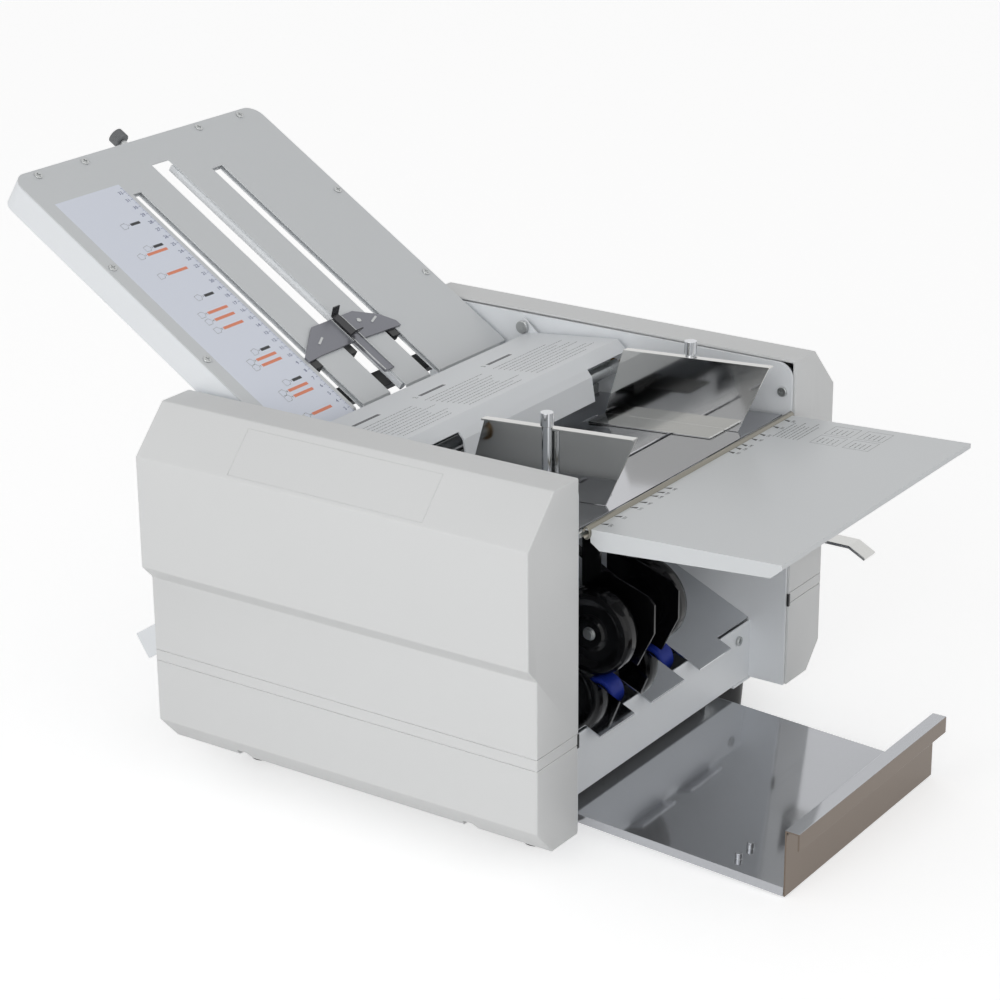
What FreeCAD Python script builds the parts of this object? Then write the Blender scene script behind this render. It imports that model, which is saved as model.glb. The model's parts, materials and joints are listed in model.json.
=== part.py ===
import FreeCAD, Part
import math
import os
import re
import Sketcher
from FreeCAD import Placement, Rotation, Vector

# Desktop paper folding machine. X runs to the operator's right, Y to the rear, Z up from the desk.
# Lengths are millimetres, angles degrees. Heights are measured from the desk, and depths from the
# front faces of the two covers; every sub-part's Placement then moves it to the machine's centre.

SIZES = {
    # covers and side frames
    "frame_inner": 170.5, "frame_gauge": 2.5, "frame_seam": 0.5, "frame_inset": 2, "frame_base": 28,
    "frame_drop": 2.8, "frame_round": 14, "cover_depth": 393, "cover_wall": 3,
    "cover_foot_wide": 37.6, "cover_waist_wide": 59.5, "cover_wide": 71.5, "cover_crown_wide": 34.9,
    "cover_bevel_top": 51.8, "step_low": 185, "step_high": 197.6, "shoulder": 296.7,
    "cover_top": 335.8, "lever_slot_gap": 2, "lever_slot_below": 5, "lever_slot_above": 38,
    # base, front panel and chute
    "pan_base": 44, "pan_gauge": 2, "pan_inset": 11, "pan_turn": 12, "panel_front": 37.5,
    "panel_gauge": 1.5, "panel_base": 28.5, "panel_gap": 0.3, "panel_screw_out": 149.5,
    "panel_screw_high": 71,
    "chute_front": 39, "chute_front_high": 86.7, "chute_slope": 24.3, "chute_run": 178,
    "chute_gauge": 1.5, "chute_side_gap": 3, "chute_back_gap": 2,
    "tongue_long": 16.2, "tongue_wide": 54.7,
    "bar_round": 12, "bar_a_deep": 90, "bar_a_high": 265, "bar_b_deep": 150, "bar_b_high": 225,
    "bar_c_inset": 51, "bar_c_high": 200, "bar_d_inset": 21, "bar_d_high": 110,
    "bar_e_inset": 46, "bar_e_high": 64, "wall_screw_deep": 11, "wall_screw_high": 307,
    "screw_head": 9, "screw_head_high": 2.5,
    "foot_round": 28, "foot_tip": 24, "foot_high": 26, "foot_out": 157,
    "foot_front": 51, "foot_inset": 51,
    # feed table and its hinge rod
    "leaf_gap": 8.5, "leaf_gauge": 1.5, "leaf_front": 173.3, "leaf_rise": 2.5, "leaf_hem": 4,
    "leaf_side": 17, "leaf_side_front": 12, "leaf_side_lead": 10, "leaf_side_back": 14,
    "leaf_side_rear": 6, "leaf_side_nose": 6, "hinge_deep": 3, "hinge_high": 286, "hinge_rod": 5,
    "knuckle_wall": 1.3, "knuckle_outer": 150, "knuckle_inner": 90, "knuckle_mid": 30,
    # lifting feed plate
    "lift_gap": 5.5, "lift_front": 8, "lift_rear": 196, "lift_high": 288, "lift_fall": 4.1,
    "lift_gauge": 1.5, "lift_side": 14, "lift_side_deep": 30, "lift_side_end": 60,
    "lift_side_rear": 7, "pin_deep": 12, "pin_drop": 8,
    "slot_deep": 70.5, "slot_wide": 5, "slot_inner": 10, "slot_inset": 5,
    "window_inner": 80, "window_outer": 103, "window_front": 143, "window_rear": 160,
    "pad_half": 19, "pad_front": 118, "pad_rear": 165, "pad_thick": 0.8, "notch_half": 24,
    "notch_front": 172,
    # sheet guides
    "guide_at": 105, "guide_gauge": 1.5, "guide_top_front": -10.7, "guide_top_front_high": 350.4,
    "guide_top_rear": 134.5, "guide_top_rear_high": 341, "guide_base_rear": 153,
    "guide_base_front": 18, "guide_foot": 27, "guide_foot_lead": 12, "guide_hem": 6,
    "lug_half": 8, "lug_thick": 3, "post_out": 7, "post_round": 8.5, "post_gap": 0.3,
    "post_deep": 70.4, "post_top": 347, "knob_round": 11, "knob_high": 11.5, "knob_gap": 1,
    "knob_sink": 0.5, "stud_gap": 0.2, "nut_round": 11, "nut_high": 4, "nut_gap": 1, "slide_gap": 0.3,
    # hood
    "hood_gap": 6.5, "hood_gauge": 1.5, "hood_rear": 273, "hood_rear_high": 318, "hood_front": 177,
    "hood_front_high": 328, "hood_lip_half": 98, "hood_crease": 162, "hood_crease_high": 313,
    "hood_fold": 5, "hood_fold_rise": 6, "hood_lip": 158.5, "hood_lip_high": 291,
    "hood_side_deep": 26, "hood_side_lead": 4, "hood_side_back": 20, "hood_side_low": 10,
    "hood_brow": 10, "pivot_deep": 278, "pivot_high": 323, "pivot_round": 6, "pivot_head": 12,
    "pivot_head_thick": 3, "pivot_gap": 1, "ear_round": 9, "feed_room": 2,
    # fold rollers, gears, bearings and drive
    "roller_round": 36, "roller_gap": 4.5, "shaft_round": 12, "shaft_past": 4, "feed_shaft_past": 6,
    "shaft_stub": 1, "roller_b_deep": 232.1, "roller_b_high": 233.9, "angle_a": 98, "angle_c": 12,
    "angle_d": -68, "bush_round": 18, "bush_long": 4, "run_gap": 0.05, "nip_gap": 0.3,
    "gear_teeth": 24, "gear_module": 1.5, "gear_stand": 4, "gear_wide": 10, "gear_backlash": 0.25,
    "gear_gap": 2, "pulley_stand": 4, "pulley_wide": 10, "belt_gauge": 1.6, "belt_gap": 0.3,
    "motor_round": 70, "motor_long": 110, "motor_deep": 290, "motor_high": 92, "motor_wall": 10,
    "motor_clear": 4, "spindle_gap": 2, "motor_pulley": 22, "main_pulley": 58,
    "small_pulley": 24, "delivery_pulley": 46, "groove_round": 30, "groove_left": 0, "groove_gap": 1,
    "feed_deep": 180, "feed_high": 302, "feed_round": 36, "feed_half": 40,
    # retard pad and the guide into the rollers
    "retard_gap": 0.3, "retard_half": 20, "retard_thick": 14, "retard_lead": 3, "retard_past": 1,
    "retard_arm": 2, "retard_knee_deep": 14, "retard_knee_high": 30, "retard_root_deep": 6,
    "retard_top_deep": 182, "retard_clip": 3, "apron_gauge": 1.2, "apron_gap": 6,
    "apron_lean": 1, "apron_top": 280, "apron_bend_high": 264, "apron_knee_deep": 213,
    "apron_knee_high": 253, "apron_tip_deep": 216, "apron_tip_high": 251.5,
    # delivery rollers
    "out_deep": 73, "out_high": 140, "out_round": 78, "out_wide": 20, "out_first": 34.5,
    "out_second": 46.8, "idler_deep": 64, "idler_high": 85.5, "idler_round": 31, "idler_hub": 20,
    "cheek_left": 15, "cheek_right": 27, "cheek_gauge": 2.5, "cheek_tip": 2, "cheek_top": 45.4,
    "cheek_front": 40, "cheek_shoulder": 32.5, "cheek_wide": 46.4, "cheek_brow": 26, "cheek_waist": 0,
    "cheek_toe": 30, "cheek_low": 33, "cheek_heel": 26, "cheek_rise": 10, "hook_half": 9,
    # upper fold plate, measured down its slope from the top edge
    "plate_slope": 32.4, "plate_edge_deep": 591.4, "plate_edge_high": 490.3, "plate_gap": 4.9,
    "plate_long": 345, "plate_thick": 27, "plate_corner": 15, "sheet_gauge": 1.2,
    "channel_gap": 3, "joggle_long": 12, "joggle_fall": 9.3, "lip_gap": 2, "rim": 8,
    "slot_a_left": 64, "slot_a_right": 53, "slot_a_from": 57, "slot_b_left": 14,
    "slot_b_right": 10, "slot_b_from": 32, "slot_c_left": 46, "slot_c_right": 61,
    "slot_c_from": 56, "slot_end": 400, "lip_end": 404,
    "rest_down": 314, "rest_wide": 18, "rest_thick": 8,
    "plate_screw_round": 8, "plate_screw_high": 1.2, "plate_screw_top": 7, "plate_screw_in": 78,
    "plate_screw_out": 138, "plate_screw_inset": 7.6, "plate_screw_mid": 125, "plate_screw_low": 245,
    "slot_b_under": 17, "guide_rod": 8, "guide_rod_across": 12, "guide_rod_down": 5.5,
    "guide_rod_from": 38, "guide_rod_to": 342, "rod_block_left": 8, "rod_block_right": 20,
    "rod_block_top": 8, "rod_block_low": 16, "rod_block_gap": 0.3,
    "screw_rod": 6, "screw_across": -9, "screw_down": 7.5, "screw_past": 15, "dial_round": 18,
    "dial_long": 11, "dial_gap": 8,
    # stop carriage
    "stop_left": 65, "stop_left_from": 281, "stop_right": 67, "stop_right_from": 282,
    "stop_shoulder": 56, "stop_shoulder_from": 269, "stop_mid_left": 28, "stop_mid_right": 31,
    "stop_mid_from": 255.3, "stop_gauge": 2, "stop_wing": 6, "stop_low": 285.5, "stop_low_left": 46,
    "stop_tongue_left": 1, "stop_tongue_right": 14, "stop_tongue_end": 325, "nut_half": 4.7,
    "nut_long": 20, "nut_wall": 1.5,
    "finger_from": 284, "finger_long": 11, "finger_wide": 10, "finger_below": 2,
    "clip_left": 0.5, "clip_right": 9.5, "clip_from": 254, "clip_to": 280, "clip_gauge": 1.2,
    "clip_high": 11, "clip_lean": 3, "clip_float": 1.8, "clip_pin": 4, "clip_pin_across": 4,
    "clip_pin_down": 267, "clip_pin_deep": 1,
    # lower fold plate, measured forward from its rear edge
    "low_slope": 33.5, "low_edge_deep": 469.7, "low_edge_high": 76.7, "low_long": 236,
    "low_thick": 25, "low_stop_at": 120, "low_stop_wide": 6, "low_ear_from": 150,
    "low_ear_long": 30, "low_ear_half": 6,
    # delivery tray
    "tray_half": 130.4, "tray_front": -166, "tray_rear": 118, "tray_high": 18.1,
    "tray_slope": 3.03, "tray_gauge": 1.5, "tray_side": 8, "tray_stop_top": 60,
    "tray_stop_flange": 13, "tray_stop_lip": 15, "tray_stop_gauge": 1.5,
    "peg_round": 6, "peg_high": 5, "peg_a_across": 90, "peg_a_deep": 53, "peg_b_across": 111,
    "peg_b_deep": 52, "glide_round": 12, "glide_inset": 12, "glide_tuck": 0.3,
    "rail_front": 60, "rail_rear": 300, "rail_gauge": 2, "rail_under": 6, "rail_gap": 3,
    # lift lever
    "lever_stand": 32, "lever_wide": 20, "lever_gauge": 3, "lever_high": 162,
    "lever_bend_deep": -42, "lever_drop": 28, "lever_tip": 18.5, "lever_pivot_deep": 120,
    "lever_pivot_high": 205, "lever_arm_half": 10, "lever_boss": 26,
    "cam_inset": 30.5, "cam_wide": 6, "cam_root": 22, "cam_lead": 20, "cam_gap": 0.9,
    "cam_root_half": 8, "cam_back": 4, "cam_deep": 6, "cam_nose": 6, "cam_fall": 1,
    # controls and power
    "key_round": 16, "key_rise": 3, "key_sink": 2, "key_gap": 0.3, "key_deep": 40,
    "console_front": 100, "console_rear": 296, "console_gauge": 3, "console_inset": 7,
    "socket_stand": 30, "inlet_wide": 28, "inlet_tall": 22, "inlet_high": 90, "inlet_deep": 22,
    "inlet_well": 18, "inlet_wall": 2.5, "prong_round": 4, "prong_short": 4, "prong_across": 7,
    "prong_low": 2, "prong_top": 3, "bridge_lap": 1,
    "rocker_wide": 14, "rocker_tall": 22, "rocker_high": 130, "switch_deep": 16, "switch_well": 12,
    "switch_wall": 1.2, "rocker_gap": 0.5, "rocker_deep": 10, "rocker_foot": 5, "rocker_tip": 8.6,
    "rocker_proud": 1.2, "rocker_dip": 0.4, "rocker_sunk": 1, "rocker_pin": 3, "rocker_axis": 4,
    "rocker_pin_end": 0.6,
    # how far a cutting shape reaches past what it cuts
    "over": 1,
}

# sizes that follow others, as formulas in the sheet
FOLLOWERS = {
    "frame_rear": "cover_depth - frame_inset", "frame_top": "cover_top - frame_drop",
    "leaf_half": "frame_inner - leaf_gap", "lift_half": "frame_inner - lift_gap",
    "hood_half": "frame_inner - hood_gap", "roller_half": "frame_inner - roller_gap",
    "plate_half": "frame_inner - plate_gap", "pan_rear": "frame_rear - pan_inset",
    "foot_rear": "frame_rear - foot_inset", "bar_c_deep": "frame_rear - bar_c_inset",
    "bar_d_deep": "frame_rear - bar_d_inset", "bar_e_deep": "frame_rear - bar_e_inset",
    "slot_outer": "lift_half - slot_inset",
    "plate_screw_edge": "plate_half - plate_screw_inset",
    "gear_from": "frame_inner + frame_gauge + gear_stand",
    "pulley_from": "gear_from + gear_wide + pulley_stand",
    "lever_left": "frame_inner + frame_gauge + lever_stand", "lever_right": "lever_left + lever_wide",
    "cam_inner": "frame_inner - cam_inset", "socket_across": "frame_inner + frame_gauge + socket_stand",
}


def size(name):
    return SIZES[name]


doc = FreeCAD.newDocument("folding_machine")
sheet = doc.addObject("Spreadsheet::Sheet", "Sizes")
for row, (alias, value) in enumerate((SIZES | FOLLOWERS).items(), 1):
    sheet.set("A%d" % row, alias)
    sheet.setAlias("B%d" % row, alias)
    sheet.set("B%d" % row, "=" + value if alias in FOLLOWERS else repr(value))
doc.recompute()

NODES = []
MOST_NODES = 60
# the largest distance, in millimetres, between two spots that count as one
SAME = 0.01
TURNS = {"x": Rotation(Vector(0, 1, 0), 90), "y": Rotation(Vector(1, 0, 0), -90), "z": Rotation()}
# a sheet's own plane for each direction that a profile is drawn out along, and that plane's sense
PLANES = {"x": ("YZ_Plane", 1), "y": ("XZ_Plane", -1), "z": ("XY_Plane", 1)}


# ---- reading and binding sizes -------------------------------------------------------------
def cells(text):
    """A formula on aliases, written as a formula on the sheet's cells."""
    known = SIZES.keys() | FOLLOWERS.keys()
    return re.sub(r"[a-z]\w*", lambda m: "Sizes." + m.group() if m.group() in known else m.group(),
                  str(text))


def number(text):
    """The value now of a formula on aliases."""
    return float(sheet.evalExpression(cells(text)))


def bind(item, **formulas):
    for name, text in formulas.items():
        item.setExpression(name.replace("__", "."), cells(text))


def at(item, x, y, z, turn=None):
    """Place an item: its turn is fixed, its base follows the sheet."""
    item.Placement = Placement(Vector(number(x), number(y), number(z)), turn or Rotation())
    bind(item, Placement__Base__x=x, Placement__Base__y=y, Placement__Base__z=z)
    return item


# ---- plain shapes --------------------------------------------------------------------------
def block(name, x, y, z):
    """A box between pairs of formulas."""
    item = doc.addObject("Part::Box", name)
    bind(item, Length="(%s) - (%s)" % (x[1], x[0]), Width="(%s) - (%s)" % (y[1], y[0]),
         Height="(%s) - (%s)" % (z[1], z[0]))
    return at(item, x[0], y[0], z[0])


def rod(name, axis, round_size, span, across):
    """A cylinder of a diameter along an axis; across gives its two other coordinates in order."""
    item = doc.addObject("Part::Cylinder", name)
    bind(item, Radius="(%s) / 2" % round_size, Height="(%s) - (%s)" % (span[1], span[0]))
    places = list(across)
    places.insert("xyz".index(axis), span[0])
    return at(item, *places, turn=TURNS[axis])


def taper(name, low_round, high_round, span, across):
    item = doc.addObject("Part::Cone", name)
    bind(item, Radius1="(%s) / 2" % low_round, Radius2="(%s) / 2" % high_round,
         Height="(%s) - (%s)" % (span[1], span[0]))
    return at(item, across[0], across[1], span[0])


def profile(name, axis, outline, span):
    """A body: a closed outline of formula pairs, drawn out along an axis between two formulas."""
    plane, sense = PLANES[axis]
    start, end = (span[0], span[1]) if sense > 0 else (span[1], span[0])
    body = doc.addObject("PartDesign::Body", name)
    sketch = body.newObject("Sketcher::SketchObject", name + "_outline")
    origin = [f for f in body.Origin.OriginFeatures if f.Role == plane][0]
    sketch.AttachmentSupport = [(origin, "")]
    sketch.MapMode = "FlatFace"
    sketch.setExpression("AttachmentOffset.Base.z", cells("%d * (%s)" % (sense, start)))
    points = [Vector(number(u), number(v), 0) for u, v in outline]
    for i, point in enumerate(points):
        sketch.addGeometry(Part.LineSegment(point, points[(i + 1) % len(points)]), False)
    for i in range(len(points)):
        sketch.addConstraint(Sketcher.Constraint("Coincident", i, 1, (i - 1) % len(points), 2))
    for i, (u, v) in enumerate(outline):
        for kind, text, value in (("DistanceX", u, points[i].x), ("DistanceY", v, points[i].y)):
            cell = sketch.addConstraint(Sketcher.Constraint(kind, -1, 1, i, 1, value))
            sketch.setExpression("Constraints[%d]" % cell, cells(text))
    pad = body.newObject("PartDesign::Pad", name + "_pad")
    pad.Profile = sketch
    bind(pad, Length="(%s) - (%s)" % (span[1], span[0]))
    return body


def round_edges(body, name, radius, chosen):
    """Round the edges that a test chooses on a body."""
    doc.recompute()
    pad = body.Tip
    names = ["Edge%d" % i for i, edge in enumerate(pad.Shape.Edges, 1) if chosen(edge)]
    curve = body.newObject("PartDesign::Fillet", name)
    curve.Base = (pad, names)
    bind(curve, Radius=radius)


def runs_along(edge, axis):
    """Whether a straight edge runs along X, Y or Z."""
    box = edge.BoundBox
    return max(getattr(box, other + "Length") for other in "XYZ" if other != axis) < SAME


def strip(name, axis, path, gauge, span):
    """A bent sheet: a path of formula pairs, thickened to its left by a gauge, drawn out."""
    return profile(name, axis, path + offset_path(path, gauge), span)


def offset_path(path, gauge):
    """The path's points, back to front, moved sideways by the gauge with mitred bends."""
    moved = []
    spots = [(number(u), number(v)) for u, v in path]
    for i, (u, v) in enumerate(path):
        before = spots[max(i - 1, 0)], spots[max(i, 1)]
        after = spots[min(i, len(spots) - 2)], spots[min(i + 1, len(spots) - 1)]
        angles = [math.atan2(q[1] - p[1], q[0] - p[0]) for p, q in (before, after)]
        half = (angles[1] - angles[0]) / 2
        half = math.atan2(math.sin(2 * half), math.cos(2 * half)) / 2
        along = angles[0] + half + math.pi / 2
        reach = 1 / math.cos(half)
        moved.insert(0, ("%s + (%s) * %.6f" % (u, gauge, math.cos(along) * reach),
                         "%s + (%s) * %.6f" % (v, gauge, math.sin(along) * reach)))
    return moved


# ---- joining and cutting -------------------------------------------------------------------
def cut(name, base, *tools):
    item = doc.addObject("Part::Cut", name)
    item.Base = base
    item.Tool = tools[0] if len(tools) == 1 else fuse(name + "_tools", *tools)
    return item


def fuse(name, *pieces):
    item = doc.addObject("Part::MultiFuse", name)
    item.Shapes = list(pieces)
    return item


def group(name, pieces):
    """Separate solids that share one node."""
    item = doc.addObject("Part::Compound", name)
    item.Links = list(pieces)
    return item


def tube(name, axis, outer, inner, span, across):
    return cut(name, rod(name + "_outer", axis, outer, span, across),
               rod(name + "_bore", axis, inner, span, across))


# ---- the machine's own frame ---------------------------------------------------------------
FRONT_REACH = "(tray_stop_flange - tray_front)"
REAR_REACH = ("(plate_edge_deep + (dial_gap + dial_long) * cos(plate_slope)"
              " + (dial_round / 2 - screw_down) * sin(plate_slope))")
MIDDLE = "((%s - %s) / 2)" % (REAR_REACH, FRONT_REACH)


def node(item, label, frame=None):
    """Name a finished sub-part and set it in the machine's frame, perhaps on a slope."""
    if item.TypeId in ("Part::Box", "Part::Cylinder"):
        item = group(item.Name + "_set", [item])
    item.Label = label
    base, turn = frame if frame else (("0", "0", "0"), Rotation())
    at(item, base[0], "%s - %s" % (base[1], MIDDLE), base[2], turn)
    NODES.append(item)
    return item


UPPER = (("0", "plate_edge_deep", "plate_edge_high"), Rotation(Vector(1, 0, 0), size("plate_slope")))
LOWER = (("0", "low_edge_deep", "low_edge_high"), Rotation(Vector(1, 0, 0), -size("low_slope")))
LIFT = (("0", "lift_front", "lift_high"), Rotation(Vector(1, 0, 0), -size("lift_fall")))
LIFT_PIN_LOCAL = ("pin_deep", "-pin_drop")
LIFT_PIN = ("lift_front + pin_deep * cos(lift_fall) - pin_drop * sin(lift_fall)",
            "lift_high - pin_deep * sin(lift_fall) - pin_drop * cos(lift_fall)")
LEAF = (("0", "hinge_deep", "hinge_high"), Rotation(Vector(1, 0, 0), -size("leaf_rise")))
TRAY = (("0", "tray_front", "tray_high + tray_front * tan(tray_slope)"),
        Rotation(Vector(1, 0, 0), size("tray_slope")))


def side(sign, inner, outer):
    """A span on the right (1) or, mirrored, on the left (-1)."""
    return (inner, outer) if sign > 0 else ("-(%s)" % outer, "-(%s)" % inner)


SIDES = ((-1, "left"), (1, "right"))
SKIN = "(frame_inner + frame_gauge + frame_seam)"


# ---- covers and frames ---------------------------------------------------------------------
def cover(sign, word):
    """A deep cover: foot bevel, waist, step and a slanted shoulder, open towards the frame."""
    outline = [("0", "frame_base"), ("cover_foot_wide", "frame_base"),
               ("cover_waist_wide", "cover_bevel_top"), ("cover_waist_wide", "step_low"),
               ("cover_wide", "step_high"), ("cover_wide", "shoulder"),
               ("cover_crown_wide", "cover_top"), ("0", "cover_top")]
    path = [("%d * (%s + %s)" % (sign, SKIN, x), z) for x, z in outline]
    body = profile(word + "_cover_body", "y", path, ("0", "cover_depth"))
    doc.recompute()
    pad = body.Tip
    flat = "Face%d" % (1 + min(range(len(pad.Shape.Faces)),
                               key=lambda i: sign * pad.Shape.Faces[i].CenterOfMass.x
                               - pad.Shape.Faces[i].Area * 1e-9))
    shell = body.newObject("PartDesign::Thickness", word + "_cover_shell")
    shell.Base = (pad, [flat])
    shell.Join = 1
    shell.Reversed = True
    bind(shell, Value="cover_wall")
    doc.recompute()
    holes = []
    if sign > 0:
        holes.append(block("lever_slot", ("lever_left - lever_slot_gap", "lever_right + lever_slot_gap"),
                           ("-over", "cover_wall + over"),
                           ("lever_high - lever_slot_below", "lever_high + lever_slot_above")))
        for item in ("rocker", "inlet"):
            wide, tall, high = item + "_wide / 2", item + "_tall / 2", item + "_high"
            holes.append(block(item + "_hole", ("socket_across - " + wide, "socket_across + " + wide),
                               ("cover_depth - cover_wall - over", "cover_depth + over"),
                               (high + " - " + tall, high + " + " + tall)))
        return node(cut(word + "_cover_cut", body, *holes), "right_cover")
    return node(body, "left_cover")


def side_frame(sign, word):
    """A steel plate with a rounded front top corner and the bearing seats of every shaft."""
    x = side(sign, "frame_inner", "frame_inner + frame_gauge")
    plate = profile(word + "_frame_plate", "x", [
        ("frame_inset", "frame_base"), ("frame_rear", "frame_base"), ("frame_rear", "frame_top"),
        ("frame_inset", "frame_top")], x)
    round_edges(plate, word + "_frame_corner", "frame_round",
                lambda e: runs_along(e, "X") and e.CenterOfMass.y < size("cover_depth") / 2
                and e.CenterOfMass.z > size("cover_top") / 2)
    through = ("%s - over" % x[0], "%s + over" % x[1])
    holes = [rod("%s_seat_%s" % (word, shaft), "x", "bush_round", through, spot)
             for shaft, spot in SHAFTS.items()]
    if sign > 0:
        holes.append(rod("motor_seat", "x", "motor_pulley + 2 * motor_clear", through,
                         ("motor_deep", "motor_high")))
    ledges = [block("%s_ledge_%s" % (word, place), side(sign, "foot_out - foot_round / 2", "frame_inner"),
                    (place + " - foot_round / 2", place + " + foot_round / 2"),
                    ("foot_high", "foot_high + frame_gauge"))
              for place in ("foot_front", "foot_rear")]
    webs = [block("%s_web_%s" % (word, place), x,
                  (place + " - foot_round / 2", place + " + foot_round / 2"),
                  ("foot_high", "frame_base")) for place in ("foot_front", "foot_rear")]
    whole = fuse(word + "_frame_whole", cut(word + "_frame_cut", plate, *holes), *(ledges + webs))
    return node(whole, word + "_side_frame")


def around(angle):
    """The centre of a roller that touches roller B in a direction."""
    return ("roller_b_deep + roller_round * cos(%s)" % angle,
            "roller_b_high + roller_round * sin(%s)" % angle)


SHAFTS = {"a": around("angle_a"), "b": ("roller_b_deep", "roller_b_high"),
          "c": around("angle_c"), "d": around("angle_d"),
          "feed": ("feed_deep", "feed_high"), "idler": ("idler_deep", "idler_high"),
          "lift": ("lever_pivot_deep", "lever_pivot_high")}
OUT = ("out_deep", "out_high")


def bearings():
    rings = []
    for sign, word in SIDES:
        span = side(sign, "frame_inner", "frame_inner + bush_long")
        for shaft, spot in SHAFTS.items():
            rings.append(tube("bush_%s_%s" % (word, shaft), "x", "bush_round",
                              "shaft_round + 2 * run_gap", span, spot))
    node(group("bushes", rings), "shaft_bearings")


def base_and_panel():
    across = ("-frame_inner", "frame_inner")
    pan = strip("pan_sheet", "y", [("-frame_inner", "pan_base + pan_turn"), ("-frame_inner", "pan_base"),
                                   ("frame_inner", "pan_base"), ("frame_inner", "pan_base + pan_turn")],
                "pan_gauge", ("panel_front + panel_gauge", "pan_rear"))
    node(fuse("pan_solid", pan, *tray_rails()), "base_pan")
    top = ("chute_front_high - (chute_front - panel_front) * tan(chute_slope)"
           " - chute_gauge / cos(chute_slope) - panel_gap")
    node(block("panel_sheet", across, ("panel_front", "panel_front + panel_gauge"), ("panel_base", top)),
         "front_panel")


def chute():
    """The polished plate that the folded sheet slides down, with three tongues past the panel."""
    frame = (("0", "chute_front", "chute_front_high"), Rotation(Vector(1, 0, 0), size("chute_slope")))
    flat = block("chute_flat", ("-frame_inner", "frame_inner"), ("0", "chute_run"), ("-chute_gauge", "0"))
    half = "(out_wide / 2 + chute_side_gap)"
    wheel_at = ("(out_deep - chute_front) * cos(chute_slope)"
                " + (out_high - chute_front_high) * sin(chute_slope)")
    gaps = [block("chute_gap_%d" % i, ("%s - %s" % (mid, half), "%s + %s" % (mid, half)),
                  ("-over", wheel_at + " + out_round / 2 + chute_back_gap"), ("-chute_gauge - over", "over"))
            for i, mid in enumerate(("-out_first", "out_second"))]
    tongues = [block("chute_tongue_%d" % i, span, ("-tongue_long", "over"), ("-chute_gauge", "0"))
               for i, span in enumerate((
                   ("-out_first - %s - tongue_wide" % half, "-out_first - " + half),
                   ("-out_first + " + half, "out_second - " + half),
                   ("out_second + " + half, "out_second + %s + tongue_wide" % half)))]
    node(fuse("chute_whole", cut("chute_open", flat, *gaps), *tongues), "exit_chute", frame)


def bars():
    """Round cross bars that hold the two side frames apart, screwed at both ends."""
    span = ("-frame_inner", "frame_inner")
    spots = {word: ("bar_%s_deep" % word, "bar_%s_high" % word) for word in "abcde"}
    node(group("bar_set", [rod("bar_" + word, "x", "bar_round", span, spot)
                           for word, spot in spots.items()]), "cross_bars")
    heads = []
    skin = "frame_inner + frame_gauge"
    for sign, side_word in SIDES:
        for word, spot in spots.items():
            heads.append(rod("%s_bar_screw_%s" % (side_word, word), "x", "screw_head",
                             side(sign, skin, skin + " + screw_head_high"), spot))
        heads.append(rod(side_word + "_wall_screw", "x", "screw_head",
                         side(sign, "frame_inner - screw_head_high", "frame_inner"),
                         ("wall_screw_deep", "wall_screw_high")))
        heads.append(rod(side_word + "_panel_screw", "y", "screw_head",
                         ("panel_front - screw_head_high", "panel_front"),
                         ("%d * panel_screw_out" % sign, "panel_screw_high")))
    return heads


def feet():
    pads = []
    for sign, word in SIDES:
        for place in ("foot_front", "foot_rear"):
            name = "%s_%s" % (word, place)
            pads.append(taper(name, "foot_tip", "foot_round", ("0", "foot_high"),
                              ("%d * foot_out" % sign, place)))
    node(group("foot_set", pads), "rubber_feet")


# ---- feeding --------------------------------------------------------------------------------
def feed_table():
    """A leaf with turned-down sides that hangs on a rod between the frames."""
    top = "hinge_rod / 2 + knuckle_wall"
    front = "-(leaf_front + hinge_deep)"
    flat = block("leaf_flat", ("-leaf_half", "leaf_half"), (front, "0"),
                 ("%s - leaf_gauge" % top, top))
    sides = [profile("leaf_side_" + word, "x", [
        ("-leaf_side_rear", top), (front, top), (front, top + " - leaf_hem"),
        (front + " + leaf_side_lead", top + " - leaf_side_front"), ("-leaf_side_back", top + " - leaf_side"),
        ("-leaf_side_rear", top + " - leaf_side + leaf_side_nose")],
        side(sign, "leaf_half - leaf_gauge", "leaf_half")) for sign, word in SIDES]
    hem = block("leaf_hem_strip", ("-leaf_half", "leaf_half"), (front, front + " + leaf_gauge"),
                (top + " - leaf_hem", top))
    roll = [rod("leaf_roll_%d" % i, "x", "hinge_rod + 2 * knuckle_wall", span, ("0", "0"))
            for i, span in enumerate((("-knuckle_outer", "-knuckle_inner"), ("-knuckle_mid", "knuckle_mid"),
                                      ("knuckle_inner", "knuckle_outer")))]
    bore = rod("leaf_bore", "x", "hinge_rod + 2 * run_gap", ("-frame_inner", "frame_inner"), ("0", "0"))
    node(cut("leaf", fuse("leaf_solid", flat, hem, *(sides + roll)), bore), "feed_table", LEAF)
    node(rod("table_rod", "x", "hinge_rod", ("-frame_inner", "frame_inner"),
             ("hinge_deep", "hinge_high")), "table_hinge_rod")


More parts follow.
